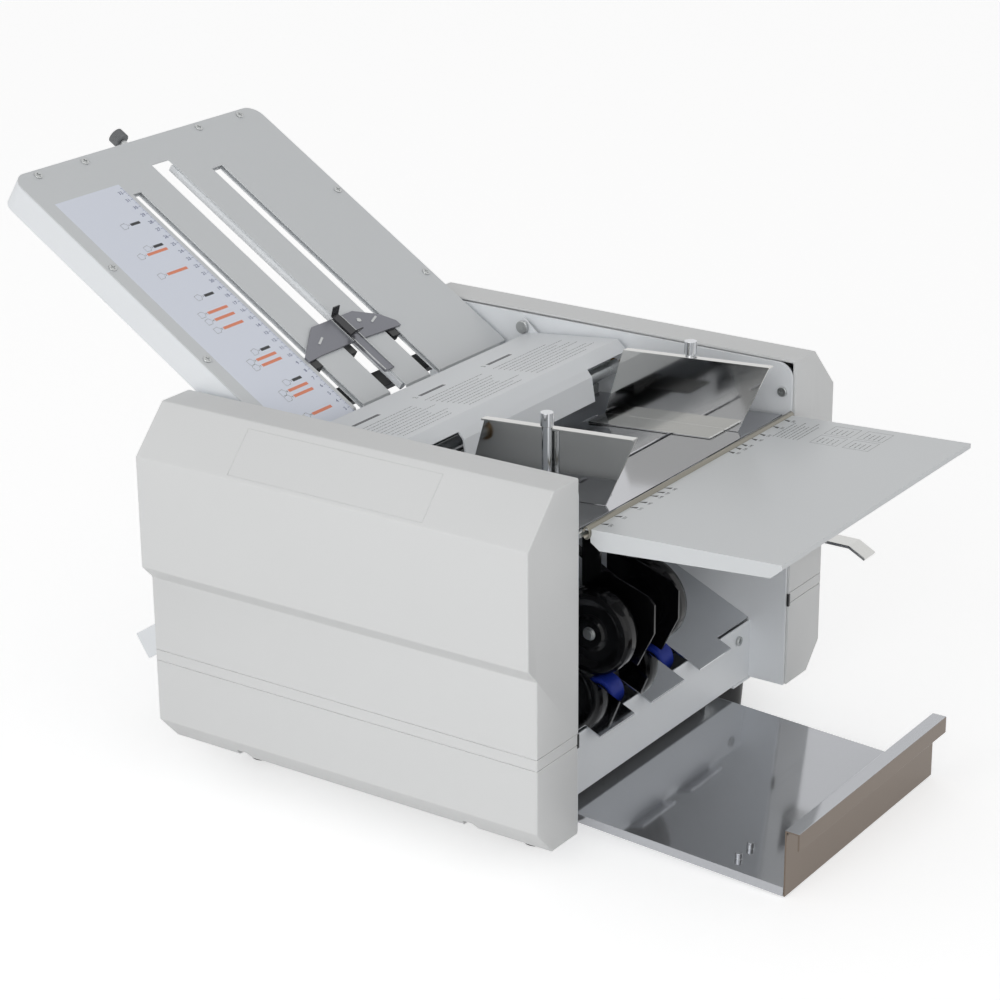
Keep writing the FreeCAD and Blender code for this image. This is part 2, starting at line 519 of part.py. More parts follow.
def lift_plate():
    """The plate that carries the stack and rises about two pins at its front end."""
    long = "((lift_rear - lift_front) / cos(lift_fall))"
    flat = block("lift_flat", ("-lift_half", "lift_half"), ("0", long), ("-lift_gauge", "0"))
    sides = [profile("lift_side_" + word, "x", [
        ("0", "0"), ("0", "-lift_side"), ("lift_side_deep", "-lift_side"),
        ("lift_side_end", "-lift_side_rear"), (long, "-lift_side_rear"), (long, "0")],
        side(sign, "lift_half - lift_gauge", "lift_half")) for sign, word in SIDES]
    pin_bore = rod("lift_pin_bore", "x", "pivot_round + 2 * run_gap", ("-frame_inner", "frame_inner"),
                   LIFT_PIN_LOCAL)
    through = ("-lift_gauge - over", "over")
    holes = []
    for sign, word in SIDES:
        holes.append(block("guide_slot_" + word, side(sign, "slot_inner", "slot_outer"),
                           ("slot_deep - lift_front - slot_wide / 2",
                            "slot_deep - lift_front + slot_wide / 2"), through))
        holes.append(block("window_" + word, side(sign, "window_inner", "window_outer"),
                           ("window_front - lift_front", "window_rear - lift_front"), through))
    holes.append(block("retard_notch", ("-notch_half", "notch_half"),
                       ("notch_front - lift_front", long + " + over"), through))
    node(cut("lift_cut", cut("lift_open", fuse("lift_solid", flat, *sides), *holes), pin_bore),
         "lift_plate", LIFT)
    pad = block("pad_rubber", ("-pad_half", "pad_half"), ("pad_front - lift_front",
                                                          "pad_rear - lift_front"),
                ("0", "pad_thick"))
    node(pad, "friction_pad", LIFT)


def guide(sign, word):
    """A sheet guide: upright wall, hem turned out along the top, foot turned in on the plate."""
    def high(deep):
        return "lift_high - (%s - lift_front) * tan(lift_fall) + slide_gap" % deep
    lead = "guide_base_front + guide_foot_lead"
    wall = profile(word + "_guide_wall", "x", [
        ("guide_top_front", "guide_top_front_high"), ("guide_top_rear", "guide_top_rear_high"),
        ("guide_base_rear", high("guide_base_rear")), ("guide_base_front", high("guide_base_front"))],
        side(sign, "guide_at", "guide_at + guide_gauge"))
    foot = profile(word + "_guide_foot", "x", [
        (lead, high(lead)), ("guide_base_rear", high("guide_base_rear")),
        ("guide_base_rear", high("guide_base_rear") + " + guide_gauge"),
        (lead, high(lead) + " + guide_gauge")],
        side(sign, "guide_at - guide_foot", "guide_at + guide_gauge"))
    hem = profile(word + "_guide_hem", "x", [
        ("guide_top_front", "guide_top_front_high"), ("guide_top_rear", "guide_top_rear_high"),
        ("guide_top_rear", "guide_top_rear_high - guide_gauge"),
        ("guide_top_front", "guide_top_front_high - guide_gauge")],
        side(sign, "guide_at", "guide_at + guide_gauge + guide_hem"))
    lug_base = high("post_deep - lug_half")
    seat = lug_base + " + lug_thick"
    lug = block(word + "_guide_lug", side(sign, "guide_at + guide_gauge / 2",
                                          "guide_at + post_out + post_round / 2"),
                ("post_deep - lug_half", "post_deep + lug_half"), (lug_base, seat))
    spot = ("%d * (guide_at + post_out)" % sign, "post_deep")
    above = "post_top + knob_high"
    bore = rod(word + "_guide_bore", "z", "slot_wide - stud_gap", (lug_base + " - over", seat + " + over"),
               spot)
    notch = rod(word + "_guide_notch", "z", "knob_round + 2 * knob_gap",
                ("post_top - knob_sink", above), spot)
    sleeve = rod(word + "_guide_clear", "z", "post_round + 2 * post_gap", (seat, above), spot)
    solid = fuse(word + "_guide_solid", wall, foot, hem, lug)
    node(cut(word + "_guide_cut", solid, bore, notch, sleeve), word + "_guide")
    post = rod(word + "_post", "z", "post_round", (seat, "post_top"), spot)
    grip = rod(word + "_grip", "z", "knob_round", ("post_top", above), spot)
    under = high("post_deep") + " - lift_gauge - slide_gap - nut_gap"
    stud = rod(word + "_stud", "z", "slot_wide - 2 * stud_gap", (under + " - nut_high", seat), spot)
    nut = rod(word + "_nut", "z", "nut_round", (under + " - nut_high", under), spot)
    node(fuse(word + "_knob_solid", post, grip, stud, nut), word + "_guide_knob")


def hood():
    """The hinged hood over the feed roller."""
    fold = ("hood_crease + hood_fold", "hood_crease_high + hood_fold_rise")
    roof = strip("hood_roof", "x", [("hood_rear", "hood_rear_high"), ("hood_front", "hood_front_high"),
                                    fold], "hood_gauge", ("-hood_half", "hood_half"))
    nose = strip("hood_nose", "x", [fold, ("hood_crease", "hood_crease_high"),
                                    ("hood_lip", "hood_lip_high")], "hood_gauge",
                 ("-hood_lip_half", "hood_lip_half"))
    slope = "(hood_front_high - hood_rear_high) / (hood_rear - hood_front)"
    cheeks = [profile("hood_cheek_" + word, "x", [
        (fold[0], fold[1] + " - hood_gauge"),
        ("hood_front + hood_side_lead", "hood_front_high - hood_side_deep"),
        ("hood_rear - hood_side_back", "hood_rear_high - hood_side_low"),
        ("pivot_deep", "pivot_high - ear_round"), ("pivot_deep + ear_round", "pivot_high"),
        ("pivot_deep", "pivot_high + ear_round"),
        ("hood_rear - hood_brow", "hood_rear_high + hood_brow * " + slope),
        ("hood_front", "hood_front_high - hood_gauge / 3")],
        side(sign, "hood_half - hood_gauge", "hood_half")) for sign, word in SIDES]
    room = rod("feed_room", "x", "shaft_round + 2 * feed_room", ("-frame_inner", "frame_inner"),
               SHAFTS["feed"])
    pivot = ("pivot_deep", "pivot_high")
    bore = rod("hood_bore", "x", "pivot_round + 2 * run_gap", ("-frame_inner", "frame_inner"), pivot)
    node(cut("hood_cut", fuse("hood_solid", roof, nose, *cheeks), bore, room), "hood")
    screws = []
    for sign, word in SIDES:
        for name, spot, inner in (("hood", pivot, "hood_half - hood_gauge - pivot_gap"),
                                  ("lift", LIFT_PIN, "lift_half - lift_gauge - pivot_gap")):
            neck = rod("%s_neck_%s" % (name, word), "x", "pivot_round",
                       side(sign, inner, "frame_inner"), spot)
            head = rod("%s_head_%s" % (name, word), "x", "pivot_head",
                       side(sign, inner + " - pivot_head_thick", inner), spot)
            screws.append(fuse("%s_screw_%s" % (name, word), neck, head))
    node(group("pivot_screw_set", screws), "pivot_screws")


def feeding_drive():
    core = rod("feed_core", "x", "shaft_round",
               ("-(pulley_from - gear_gap)", "frame_inner + frame_gauge + feed_shaft_past"),
               SHAFTS["feed"])
    node(fuse("feed_shaft_solid", core, collar("feed", NEAR_BELT)), "feed_shaft")
    node(tube("feed_rubber", "x", "feed_round", "shaft_round", ("-feed_half", "feed_half"),
              SHAFTS["feed"]), "feed_roller")


def retard():
    """The pad under the feed roller, on an arm clipped to a cross bar."""
    wide = ("-retard_half", "retard_half")
    bar = ("bar_b_deep", "bar_b_high")
    top = "feed_high - feed_round / 2 - retard_gap"
    base = top + " - retard_thick"
    holder = block("retard_block", wide, ("notch_front + retard_lead", "lift_rear + retard_past"),
                   (base, top))
    arm = strip("retard_arm_strip", "x", [
        ("bar_b_deep + retard_root_deep", "bar_b_high"),
        ("bar_b_deep + retard_knee_deep", "bar_b_high + retard_knee_high"),
        ("retard_top_deep", base)], "retard_arm", wide)
    bore = rod("retard_bore", "x", "bar_round", ("-frame_inner", "frame_inner"), bar)
    clip = rod("retard_clip_ring", "x", "bar_round + 2 * retard_clip", wide, bar)
    node(cut("retard_cut", fuse("retard_solid", holder, arm, clip), bore), "retard_pad")


def infeed_guide():
    """The sheet that leads the paper from the lift plate down to the first nip."""
    node(strip("apron_sheet", "x", [
        ("lift_rear + apron_gap", "apron_top"), ("lift_rear + apron_gap + apron_lean", "apron_bend_high"),
        ("apron_knee_deep", "apron_knee_high"), ("apron_tip_deep", "apron_tip_high")],
        "-apron_gauge", ("-frame_inner", "frame_inner")), "infeed_guide")


# ---- rollers, gears and drive ---------------------------------------------------------------
def roller(word):
    """A fold roller on its through shaft; roller B has a groove for the delivery belt."""
    left = {"a": "pulley_from - gear_gap", "b": "gear_from - gear_gap"}
    left = left.get(word, "frame_inner + frame_gauge + shaft_past")
    right = "pulley_from + pulley_wide" if word == "b" else "gear_from + gear_wide + shaft_stub"
    shaft = rod("shaft_" + word, "x", "shaft_round", ("-(%s)" % left, right), SHAFTS[word])
    drum = rod("drum_" + word, "x", "roller_round - 2 * nip_gap", ("-roller_half", "roller_half"),
               SHAFTS[word])
    if word == "b":
        drum = cut("drum_grooved", drum, tube("drum_groove", "x", "roller_round + over", "groove_round",
                                              GROOVE, SHAFTS[word]))
    ends = [collar(word, NEAR_BELT)] if word == "a" else []
    node(fuse("roller_%s_solid" % word, shaft, drum, *ends), "fold_roller_" + word)


# tooth height above and depth below the pitch circle, in modules, and a flank's lean
ADDENDUM = 0.9
DEDENDUM = 1.15
FLANK_LEAN = 0.42


def gear_outline(phase):
    """A spur gear's outline in its own plane: straight-flanked teeth with running backlash."""
    teeth = int(size("gear_teeth"))
    pitch = size("gear_module") * teeth / 2
    tip = pitch + ADDENDUM * size("gear_module")
    root = pitch - DEDENDUM * size("gear_module")
    step = 2 * math.pi / teeth
    half = step / 4 - size("gear_backlash") / pitch / 2
    points = []
    for tooth in range(teeth):
        middle = phase + tooth * step
        for reach, sense in ((root, -1), (tip, -1), (tip, 1), (root, 1)):
            spread = half - (reach - pitch) * FLANK_LEAN / reach
            points.append((reach, middle + sense * spread))
    points.append(points[0])
    return [Vector(0, r * math.cos(a), r * math.sin(a)) for r, a in points]


def gear(word, phase):
    wide = Vector(size("gear_wide"), 0, 0)
    solid = Part.Face(Part.makePolygon(gear_outline(phase))).extrude(wide)
    bore = Part.makeCylinder(size("shaft_round") / 2, wide.x, Vector(), wide)
    item = doc.addObject("Part::Feature", "gear_" + word)
    item.Shape = solid.cut(bore)
    node(item, "gear_" + word, (("gear_from",) + SHAFTS[word], Rotation()))


def gears():
    """The four gears; each follower's phase is the one that meshes with gear B."""
    step = 2 * math.pi / size("gear_teeth")
    gear("b", 0.0)
    for word in "acd":
        angle = math.radians(size("angle_" + word))
        gear(word, 2 * angle + math.pi + step / 2)


def belt(name, spots, rounds, span):
    """A flat belt round two pulleys, clear of both by the belt gap."""
    centres = [Vector(0, number(y), number(z)) for y, z in spots]
    grow = size("belt_gap")
    inner = hull_face(centres, [number(r) / 2 + grow for r in rounds])
    outer = hull_face(centres, [number(r) / 2 + grow + size("belt_gauge") for r in rounds])
    x0, x1 = number(span[0]), number(span[1])
    item = doc.addObject("Part::Feature", name)
    item.Shape = outer.cut(inner).extrude(Vector(x1 - x0, 0, 0))
    return at(item, span[0], "0", "0")


def hull_face(centres, radii):
    """The face inside a taut band round two circles in the YZ plane."""
    reach = centres[1] - centres[0]
    aim = math.atan2(reach.z, reach.y)
    open_angle = math.acos((radii[0] - radii[1]) / reach.Length)

    def spot(i, angle):
        return centres[i] + Vector(0, math.cos(angle), math.sin(angle)) * radii[i]
    first = [spot(0, aim + open_angle), spot(0, aim + math.pi), spot(0, aim - open_angle)]
    second = [spot(1, aim - open_angle), spot(1, aim), spot(1, aim + open_angle)]
    edges = [Part.Arc(*first).toShape(), Part.makeLine(first[2], second[0]),
             Part.Arc(*second).toShape(), Part.makeLine(second[2], first[0])]
    return Part.Face(Part.Wire(edges))


NEAR_BELT = ("-(gear_from + pulley_wide + shaft_stub)", "-(gear_from + shaft_stub)")
MID_BELT = ("groove_left + groove_gap", "groove_left + groove_gap + pulley_wide")
GROOVE = ("groove_left", "groove_left + 2 * groove_gap + pulley_wide")


def collar(shaft, span):
    """A pulley turned on the end of a shaft."""
    return rod("collar_" + shaft, "x", "small_pulley", span, SHAFTS[shaft])


def drive():
    right = ("pulley_from", "pulley_from + pulley_wide")
    motor = ("motor_deep", "motor_high")
    can = rod("motor_can", "x", "motor_round", ("frame_inner - motor_long", "frame_inner"), motor)
    hollow = rod("motor_hollow", "x", "shaft_round + 2 * run_gap",
                 ("frame_inner - motor_long + motor_wall", "frame_inner"), motor)
    node(cut("motor_body", can, hollow), "drive_motor")
    spindle = rod("motor_spindle", "x", "shaft_round",
                  ("frame_inner - motor_long + motor_wall + spindle_gap",
                   "pulley_from + pulley_wide"), motor)
    node(fuse("motor_rotor", spindle, rod("motor_wheel", "x", "motor_pulley", right, motor)),
         "motor_pulley")
    node(tube("main_wheel", "x", "main_pulley", "shaft_round", right, SHAFTS["b"]), "main_pulley")
    small = ("small_pulley", "small_pulley")
    node(group("belt_set", [
        belt("motor_band", (motor, SHAFTS["b"]), ("motor_pulley", "main_pulley"), right),
        belt("feed_band", (SHAFTS["a"], SHAFTS["feed"]), small, NEAR_BELT),
        belt("delivery_band", (SHAFTS["b"], OUT), ("groove_round", "delivery_pulley"),
             MID_BELT)]), "drive_belts")


# ---- delivery -------------------------------------------------------------------------------
def delivery():
    """Two wheels overhung on a short shaft, and the two tyres below that they run on."""
    faces = ("-out_first - out_wide / 2", "out_second + out_wide / 2")
    heads = (("%s - screw_head_high" % faces[0], faces[0]), (faces[1], "%s + screw_head_high" % faces[1]))
    pieces = [rod("out_core", "x", "shaft_round", faces, OUT),
              rod("out_pulley", "x", "delivery_pulley", MID_BELT, OUT)]
    pieces += [rod("out_head_%d" % i, "x", "screw_head", span, OUT) for i, span in enumerate(heads)]
    node(fuse("out_shaft_solid", *pieces), "delivery_shaft")
    end = "(frame_inner + frame_gauge + shaft_past)"
    sets = {"wheels": [], "tyres": [],
            "hubs": [rod("idler_core", "x", "shaft_round", ("-" + end, end), SHAFTS["idler"])]}
    for i, mid in enumerate(("-out_first", "out_second")):
        x = (mid + " - out_wide / 2", mid + " + out_wide / 2")
        sets["wheels"].append(tube("out_wheel_%d" % i, "x", "out_round", "shaft_round", x, OUT))
        sets["hubs"].append(rod("idler_hub_%d" % i, "x", "idler_hub", x, SHAFTS["idler"]))
        sets["tyres"].append(tube("idler_tyre_%d" % i, "x", "idler_round", "idler_hub", x,
                                  SHAFTS["idler"]))
    node(group("wheel_set", sets["wheels"]), "delivery_wheels")
    node(fuse("hub_set", *sets["hubs"]), "idler_shaft")
    node(group("tyre_set", sets["tyres"]), "blue_tyres")
    delivery_bracket()


def delivery_bracket():
    """Two plates between the wheels that hold their shaft and hang from a cross bar."""
    outline = [("out_deep - cheek_tip", "out_high + cheek_top"),
               ("out_deep - cheek_front", "out_high + cheek_shoulder"),
               ("out_deep - cheek_wide", "out_high + cheek_brow"),
               ("out_deep - cheek_wide", "out_high + cheek_waist"),
               ("out_deep - cheek_toe", "out_high - cheek_low"),
               ("out_deep + cheek_heel", "out_high - cheek_rise"),
               ("bar_a_deep + hook_half", "out_high + cheek_top"),
               ("bar_a_deep + hook_half", "bar_a_high + hook_half"),
               ("bar_a_deep - hook_half", "bar_a_high + hook_half"),
               ("bar_a_deep - hook_half", "out_high + cheek_top")]
    left = profile("cheek_a", "x", outline, ("-cheek_left", "-cheek_left + cheek_gauge"))
    right = profile("cheek_b", "x", outline, ("cheek_right - cheek_gauge", "cheek_right"))
    hook = block("cheek_hook", ("-cheek_left", "cheek_right"),
                 ("bar_a_deep - hook_half", "bar_a_deep + hook_half"),
                 ("bar_a_high - hook_half", "bar_a_high + hook_half"))
    past = ("-cheek_left - over", "cheek_right + over")
    seat = rod("cheek_seat", "x", "bar_round", past, ("bar_a_deep", "bar_a_high"))
    bore = rod("cheek_bore", "x", "shaft_round + 2 * run_gap", past, OUT)
    node(cut("bracket_cut", fuse("bracket_solid", left, right, hook), bore, seat), "delivery_bracket")


def tray():
    """The delivery tray, its upright stop, front glides and the rails it slides in."""
    long = "((tray_rear - tray_front) / cos(tray_slope))"
    flat = block("tray_flat", ("-tray_half", "tray_half"), ("0", long), ("-tray_gauge", "0"))
    sides = [block("tray_side_" + word, side(sign, "tray_half - tray_gauge", "tray_half"), ("0", long),
                   ("-tray_side", "0")) for sign, word in SIDES]
    pegs = [rod("tray_peg_" + word, "z", "peg_round", ("-tray_gauge", "peg_high"),
                ("-peg_%s_across" % word, "peg_%s_deep" % word)) for word in "ab"]
    node(fuse("tray_solid", flat, *(sides + pegs)), "delivery_tray", TRAY)
    low = "tray_high + tray_front * tan(tray_slope)"
    glides = [rod("glide_" + word, "z", "glide_round", ("0", low + " - tray_gauge + glide_tuck"),
                  ("%d * (tray_half - glide_inset)" % sign, "tray_front + glide_inset"))
              for sign, word in SIDES]
    node(group("glide_set", glides), "tray_glides")
    stop = strip("tray_stop_sheet", "x", [
        ("tray_front", low + " - tray_side"), ("tray_front", "tray_stop_top"),
        ("tray_front - tray_stop_flange", "tray_stop_top"),
        ("tray_front - tray_stop_flange", "tray_stop_top - tray_stop_lip")],
        "tray_stop_gauge", ("-tray_half", "tray_half"))
    node(stop, "tray_stop")


def tray_rails():
    """Two angles under the base pan that carry the tray's turned-down sides on its slope."""
    def lip(deep):
        return "tray_high + (%s) * tan(tray_slope) - tray_side / cos(tray_slope) - slide_gap" % deep
    rails = []
    front, rear = "rail_front", "rail_rear"
    for sign, word in SIDES:
        inner, outer = "tray_half - rail_under", "tray_half + rail_gap"
        hang = profile("rail_hang_" + word, "x", [
            (front, lip(front) + " - rail_gauge"), (rear, lip(rear) + " - rail_gauge"),
            (rear, "pan_base"), (front, "pan_base")], side(sign, outer, outer + " + rail_gauge"))
        ledge = profile("rail_ledge_" + word, "x", [
            (front, lip(front) + " - rail_gauge"), (rear, lip(rear) + " - rail_gauge"),
            (rear, lip(rear)), (front, lip(front))], side(sign, inner, outer + " + rail_gauge"))
        rails += [hang, ledge]
    return rails


# ---- fold plates ----------------------------------------------------------------------------
def slots(name, span, starts=("slot_a_from", "slot_b_from", "slot_c_from"), middle="slot_b_right"):
    """The three slots that the sheet stop's fingers run in."""
    edges = (("-slot_a_left", "-slot_a_right"), ("-slot_b_left", middle),
             ("slot_c_left", "slot_c_right"))
    return [block("%s_%d" % (name, i), across, ("-slot_end", "-(%s)" % start), span)
            for i, (across, start) in enumerate(zip(edges, starts))]


def upper_plate():
    """The upper fold plate: a rim, a slotted top sheet, a slotted back sheet, a gap between."""
    corners = (lambda e: runs_along(e, "Z") and abs(e.CenterOfMass.y) < SAME)
    outline = [("-plate_half", "-plate_long"), ("plate_half", "-plate_long"),
               ("plate_half", "0"), ("-plate_half", "0")]
    outer = profile("rim_outer", "z", outline, ("-plate_thick", "-sheet_gauge"))
    round_edges(outer, "rim_corner", "plate_corner", corners)
    inside = ("-plate_half + rim", "plate_half - rim")
    inner = block("rim_inner", inside, ("-plate_long - over", "-rim"), ("-plate_thick - over", "0"))
    bore = rod("rim_bore", "y", "screw_rod + 2 * run_gap", ("-rim - over", "over"),
               ("screw_across", "-screw_down"))
    back = sheet_with_lip("back", inside, "-rim", "-sheet_gauge - channel_gap")
    back_slots = slots("back_slot", ("-plate_thick", "-sheet_gauge - over"),
                       ("slot_a_from", "rim", "slot_c_from"), "slot_b_under")
    node(cut("rim_cut", fuse("rim_solid", cut("rim_open", outer, inner), cut("back", back, *back_slots),
                             *guide_rod()), bore), "upper_plate_frame", UPPER)
    main = profile("top_flat", "z", outline, ("-sheet_gauge", "0"))
    round_edges(main, "top_corner", "plate_corner", corners)
    lip = sheet_with_lip("top", (inside[0] + " + lip_gap", inside[1] + " - lip_gap"),
                         "-plate_long + joggle_long", "0")
    top_slots = slots("top_slot", ("-plate_thick", "over"))
    node(cut("top_cut", fuse("top_plate", main, lip), *top_slots), "upper_top_sheet", UPPER)
    spots = [(across, "top") for across in ("out", "in")] + [("edge", down) for down in ("mid", "low")]
    screws = [rod("%s_plate_screw_%s_%s" % (word, across, down), "z", "plate_screw_round",
                  ("0", "plate_screw_high"),
                  ("%d * plate_screw_%s" % (sign, across), "-plate_screw_" + down))
              for sign, word in SIDES for across, down in spots]
    return at(group("plate_screw_set", screws), *UPPER[0], turn=UPPER[1])


def guide_rod():
    """The rod that the sheet stop runs along, between two blocks on the back sheet."""
    low = "-sheet_gauge - channel_gap - sheet_gauge"
    ends = (("guide_rod_from", "guide_rod_from + rod_block_top"),
            ("guide_rod_to - rod_block_low", "guide_rod_to"))
    blocks = [block("rod_block_%d" % i, ("rod_block_left", "rod_block_right"),
                    ("-(%s)" % end, "-(%s)" % start), (low, "-sheet_gauge - rod_block_gap"))
              for i, (start, end) in enumerate(ends)]
    return [rod("stop_guide_rod", "y", "guide_rod", ("-guide_rod_to", "-guide_rod_from"),
                ("guide_rod_across", "-guide_rod_down"))] + blocks


def sheet_with_lip(word, across, start, top):
    """A sheet that runs down the plate and, past the rim, drops to a lip between the covers."""
    lip_top = "%s - joggle_fall" % top
    return strip(word + "_sheet", "x", [
        (start, top), ("-plate_long", top), ("-plate_long - joggle_long", lip_top),
        ("-lip_end", lip_top)], "sheet_gauge", across)


def plate_rest():
    node(block("rest", ("-frame_inner", "frame_inner"),
               ("-rest_down - rest_wide / 2", "-rest_down + rest_wide / 2"),
               ("-plate_thick - rest_thick", "-plate_thick")), "plate_rest", UPPER)


def stop_parts():
    """The sheet stop: carriage on the plate, fingers in the slots, screw, dial and release clip."""
    wing = [("-stop_left", "-stop_left_from"), ("-stop_mid_left", "-stop_mid_from"),
            ("stop_mid_right", "-stop_mid_from"), ("stop_shoulder", "-stop_shoulder_from"),
            ("stop_right", "-stop_right_from"), ("stop_right", "-stop_right_from - stop_wing"),
            ("stop_tongue_right", "-stop_low"), ("stop_tongue_right", "-stop_tongue_end"),
            ("stop_tongue_left", "-stop_tongue_end"), ("stop_tongue_left", "-stop_low"),
            ("-stop_low_left", "-stop_low"), ("-stop_left", "-stop_left_from - stop_wing")]
    flat = profile("stop_flat", "z", wing, ("slide_gap", "slide_gap + stop_gauge"))
    screw_path = ("screw_across", "-screw_down")
    pin_spot = ("clip_pin_across", "-clip_pin_down")
    seat = "slide_gap + stop_gauge"
    nut_end = "-stop_mid_from - nut_long"
    nut_wide = ("screw_across - nut_half", "screw_across + nut_half")
    nut = block("stop_nut", nut_wide, (nut_end, "-stop_mid_from"),
                ("-screw_down - screw_rod / 2 - nut_wall", "slide_gap"))
    bore = rod("stop_bore", "y", "screw_rod + 2 * run_gap", (nut_end + " - over", "-stop_mid_from + over"),
               screw_path)
    hole = rod("stop_pin_hole", "z", "clip_pin + 2 * run_gap", ("-over", seat + " + over"), pin_spot)
    node(cut("stop_cut", fuse("stop_solid", flat, nut), bore, hole), "stop_carriage", UPPER)
    long = ("-finger_from - finger_long", "-finger_from")
    deep = ("-2 * sheet_gauge - channel_gap - finger_below", "slide_gap")
    fingers = [block("finger_" + word, ("%s - finger_wide / 2" % mid, "%s + finger_wide / 2" % mid),
                     long, deep) for word, mid in (("left", "-(slot_a_left + slot_a_right) / 2"),
                                                   ("right", "(slot_c_left + slot_c_right) / 2"))]
    path = rod("finger_bore", "y", "screw_rod + 2 * run_gap", (long[0] + " - over", long[1] + " + over"),
               screw_path)
    fingers.append(cut("finger_bored", block("finger_middle", nut_wide, long, deep), path))
    node(group("finger_set", fingers), "stop_fingers", UPPER)
    node(rod("screw_core", "y", "screw_rod", ("-stop_mid_from - screw_past", "dial_gap"),
             screw_path), "adjusting_screw", UPPER)
    node(rod("dial_grip", "y", "dial_round", ("dial_gap", "dial_gap + dial_long"), screw_path),
         "adjusting_knob", UPPER)
    floor, top = seat + " + clip_float", seat + " + clip_high"
    clip = strip("clip_strip", "x", [
        ("-clip_to - clip_lean", top), ("-clip_to", floor), ("-clip_from", floor),
        ("-clip_from + clip_lean", top)], "clip_gauge", ("clip_left", "clip_right"))
    pin = rod("clip_pin_rod", "z", "clip_pin", ("-clip_pin_deep", floor + " + clip_gauge / 2"), pin_spot)
    node(fuse("clip_solid", clip, pin), "stop_clip", UPPER)


def lower_plate():
    """The lower fold plate, slung under the rollers and falling to the rear."""
    outer = block("low_outer", ("-plate_half", "plate_half"), ("-low_long", "0"),
                  ("-low_thick / 2", "low_thick / 2"))
    span = ("-plate_half + rim", "plate_half - rim")
    inner = block("low_inner", span, ("-low_long - over", "-rim"),
                  ("-low_thick / 2 - over", "low_thick / 2 + over"))
    pieces = [cut("low_rim", outer, inner)]
    for word, low, high in (("top", "channel_gap / 2", "channel_gap / 2 + sheet_gauge"),
                            ("back", "-channel_gap / 2 - sheet_gauge", "-channel_gap / 2")):
        pieces.append(block("low_%s_flat" % word, span, ("-low_long", "-rim"), (low, high)))
    pieces.append(block("low_stop_bar", span, ("-low_stop_at - low_stop_wide", "-low_stop_at"),
                        ("-channel_gap / 2", "channel_gap / 2")))
    pieces += [block("low_ear_" + word, side(sign, "plate_half - rim", "frame_inner"),
                     ("-low_ear_from - low_ear_long", "-low_ear_from"),
                     ("-low_ear_half", "low_ear_half")) for sign, word in SIDES]
    node(fuse("low_solid", *pieces), "lower_fold_plate", LOWER)


# ---- lever, controls and power --------------------------------------------------------------
def lever():
    """The lift lever, its cross shaft and the two cams that push the lift plate up."""
    strap = strip("lever_strap", "x", [
        ("lever_pivot_deep", "lever_high"), ("lever_bend_deep", "lever_high"),
        ("lever_bend_deep - lever_tip * cos(lever_drop)", "lever_high - lever_tip * sin(lever_drop)")],
        "lever_gauge", ("lever_left", "lever_right"))
    arm = block("lever_arm", ("lever_left", "lever_right"),
                ("lever_pivot_deep - lever_arm_half", "lever_pivot_deep + lever_arm_half"),
                ("lever_high - lever_gauge", "lever_pivot_high"))
    boss = rod("lever_boss_round", "x", "lever_boss", ("lever_left", "lever_right"), SHAFTS["lift"])
    bore = rod("lever_bore", "x", "shaft_round", ("lever_left - over", "lever_right + over"),
               SHAFTS["lift"])
    node(cut("lever_cut", fuse("lever_solid", strap, arm, boss), bore), "lift_lever")
    pieces = [rod("lift_core", "x", "shaft_round",
                  ("-(frame_inner + frame_gauge + shaft_past)", "lever_right"), SHAFTS["lift"])]
    tip = "lever_pivot_deep - cam_lead"
    under = ("lift_high - (%s - lift_front) * tan(lift_fall) - lift_gauge / cos(lift_fall)"
             " - cam_gap" % tip)
    for sign, word in SIDES:
        x = side(sign, "cam_inner", "cam_inner + cam_wide")
        pieces.append(rod("cam_root_" + word, "x", "cam_root", x, SHAFTS["lift"]))
        pieces.append(profile("cam_arm_" + word, "x", [
            ("lever_pivot_deep - cam_root_half", "lever_pivot_high"),
            (tip + " - cam_back", under + " - cam_deep"), (tip, under),
            (tip + " + cam_nose", under + " - cam_fall"),
            ("lever_pivot_deep + cam_root_half", "lever_pivot_high")], x))
    node(fuse("lift_shaft_solid", *pieces), "lift_shaft")


def console():
    """Key panel on the right cover's slanted shoulder, with the start key in it."""
    rise = "(cover_top - shoulder)"
    run = "(cover_wide - cover_crown_wide)"
    lean = math.degrees(math.atan2(number(rise), number(run)))
    slant = "sqrt(%s ^ 2 + %s ^ 2)" % (rise, run)
    frame = ((SKIN + " + cover_wide", "console_front", "shoulder"),
             Rotation(Vector(0, 1, 0), lean))
    panel = block("panel_plate", ("-(%s - console_inset)" % slant, "-console_inset"),
                  ("0", "console_rear - console_front"), ("0", "console_gauge"))
    middle = ("-%s / 2" % slant, "key_deep")
    well = rod("key_well", "z", "key_round + 2 * key_gap", ("-over", "console_gauge + over"), middle)
    node(cut("console_cut", panel, well), "control_panel", frame)
    node(rod("key", "z", "key_round", ("key_sink + key_gap", "console_gauge + key_rise"), middle),
         "start_key", frame)


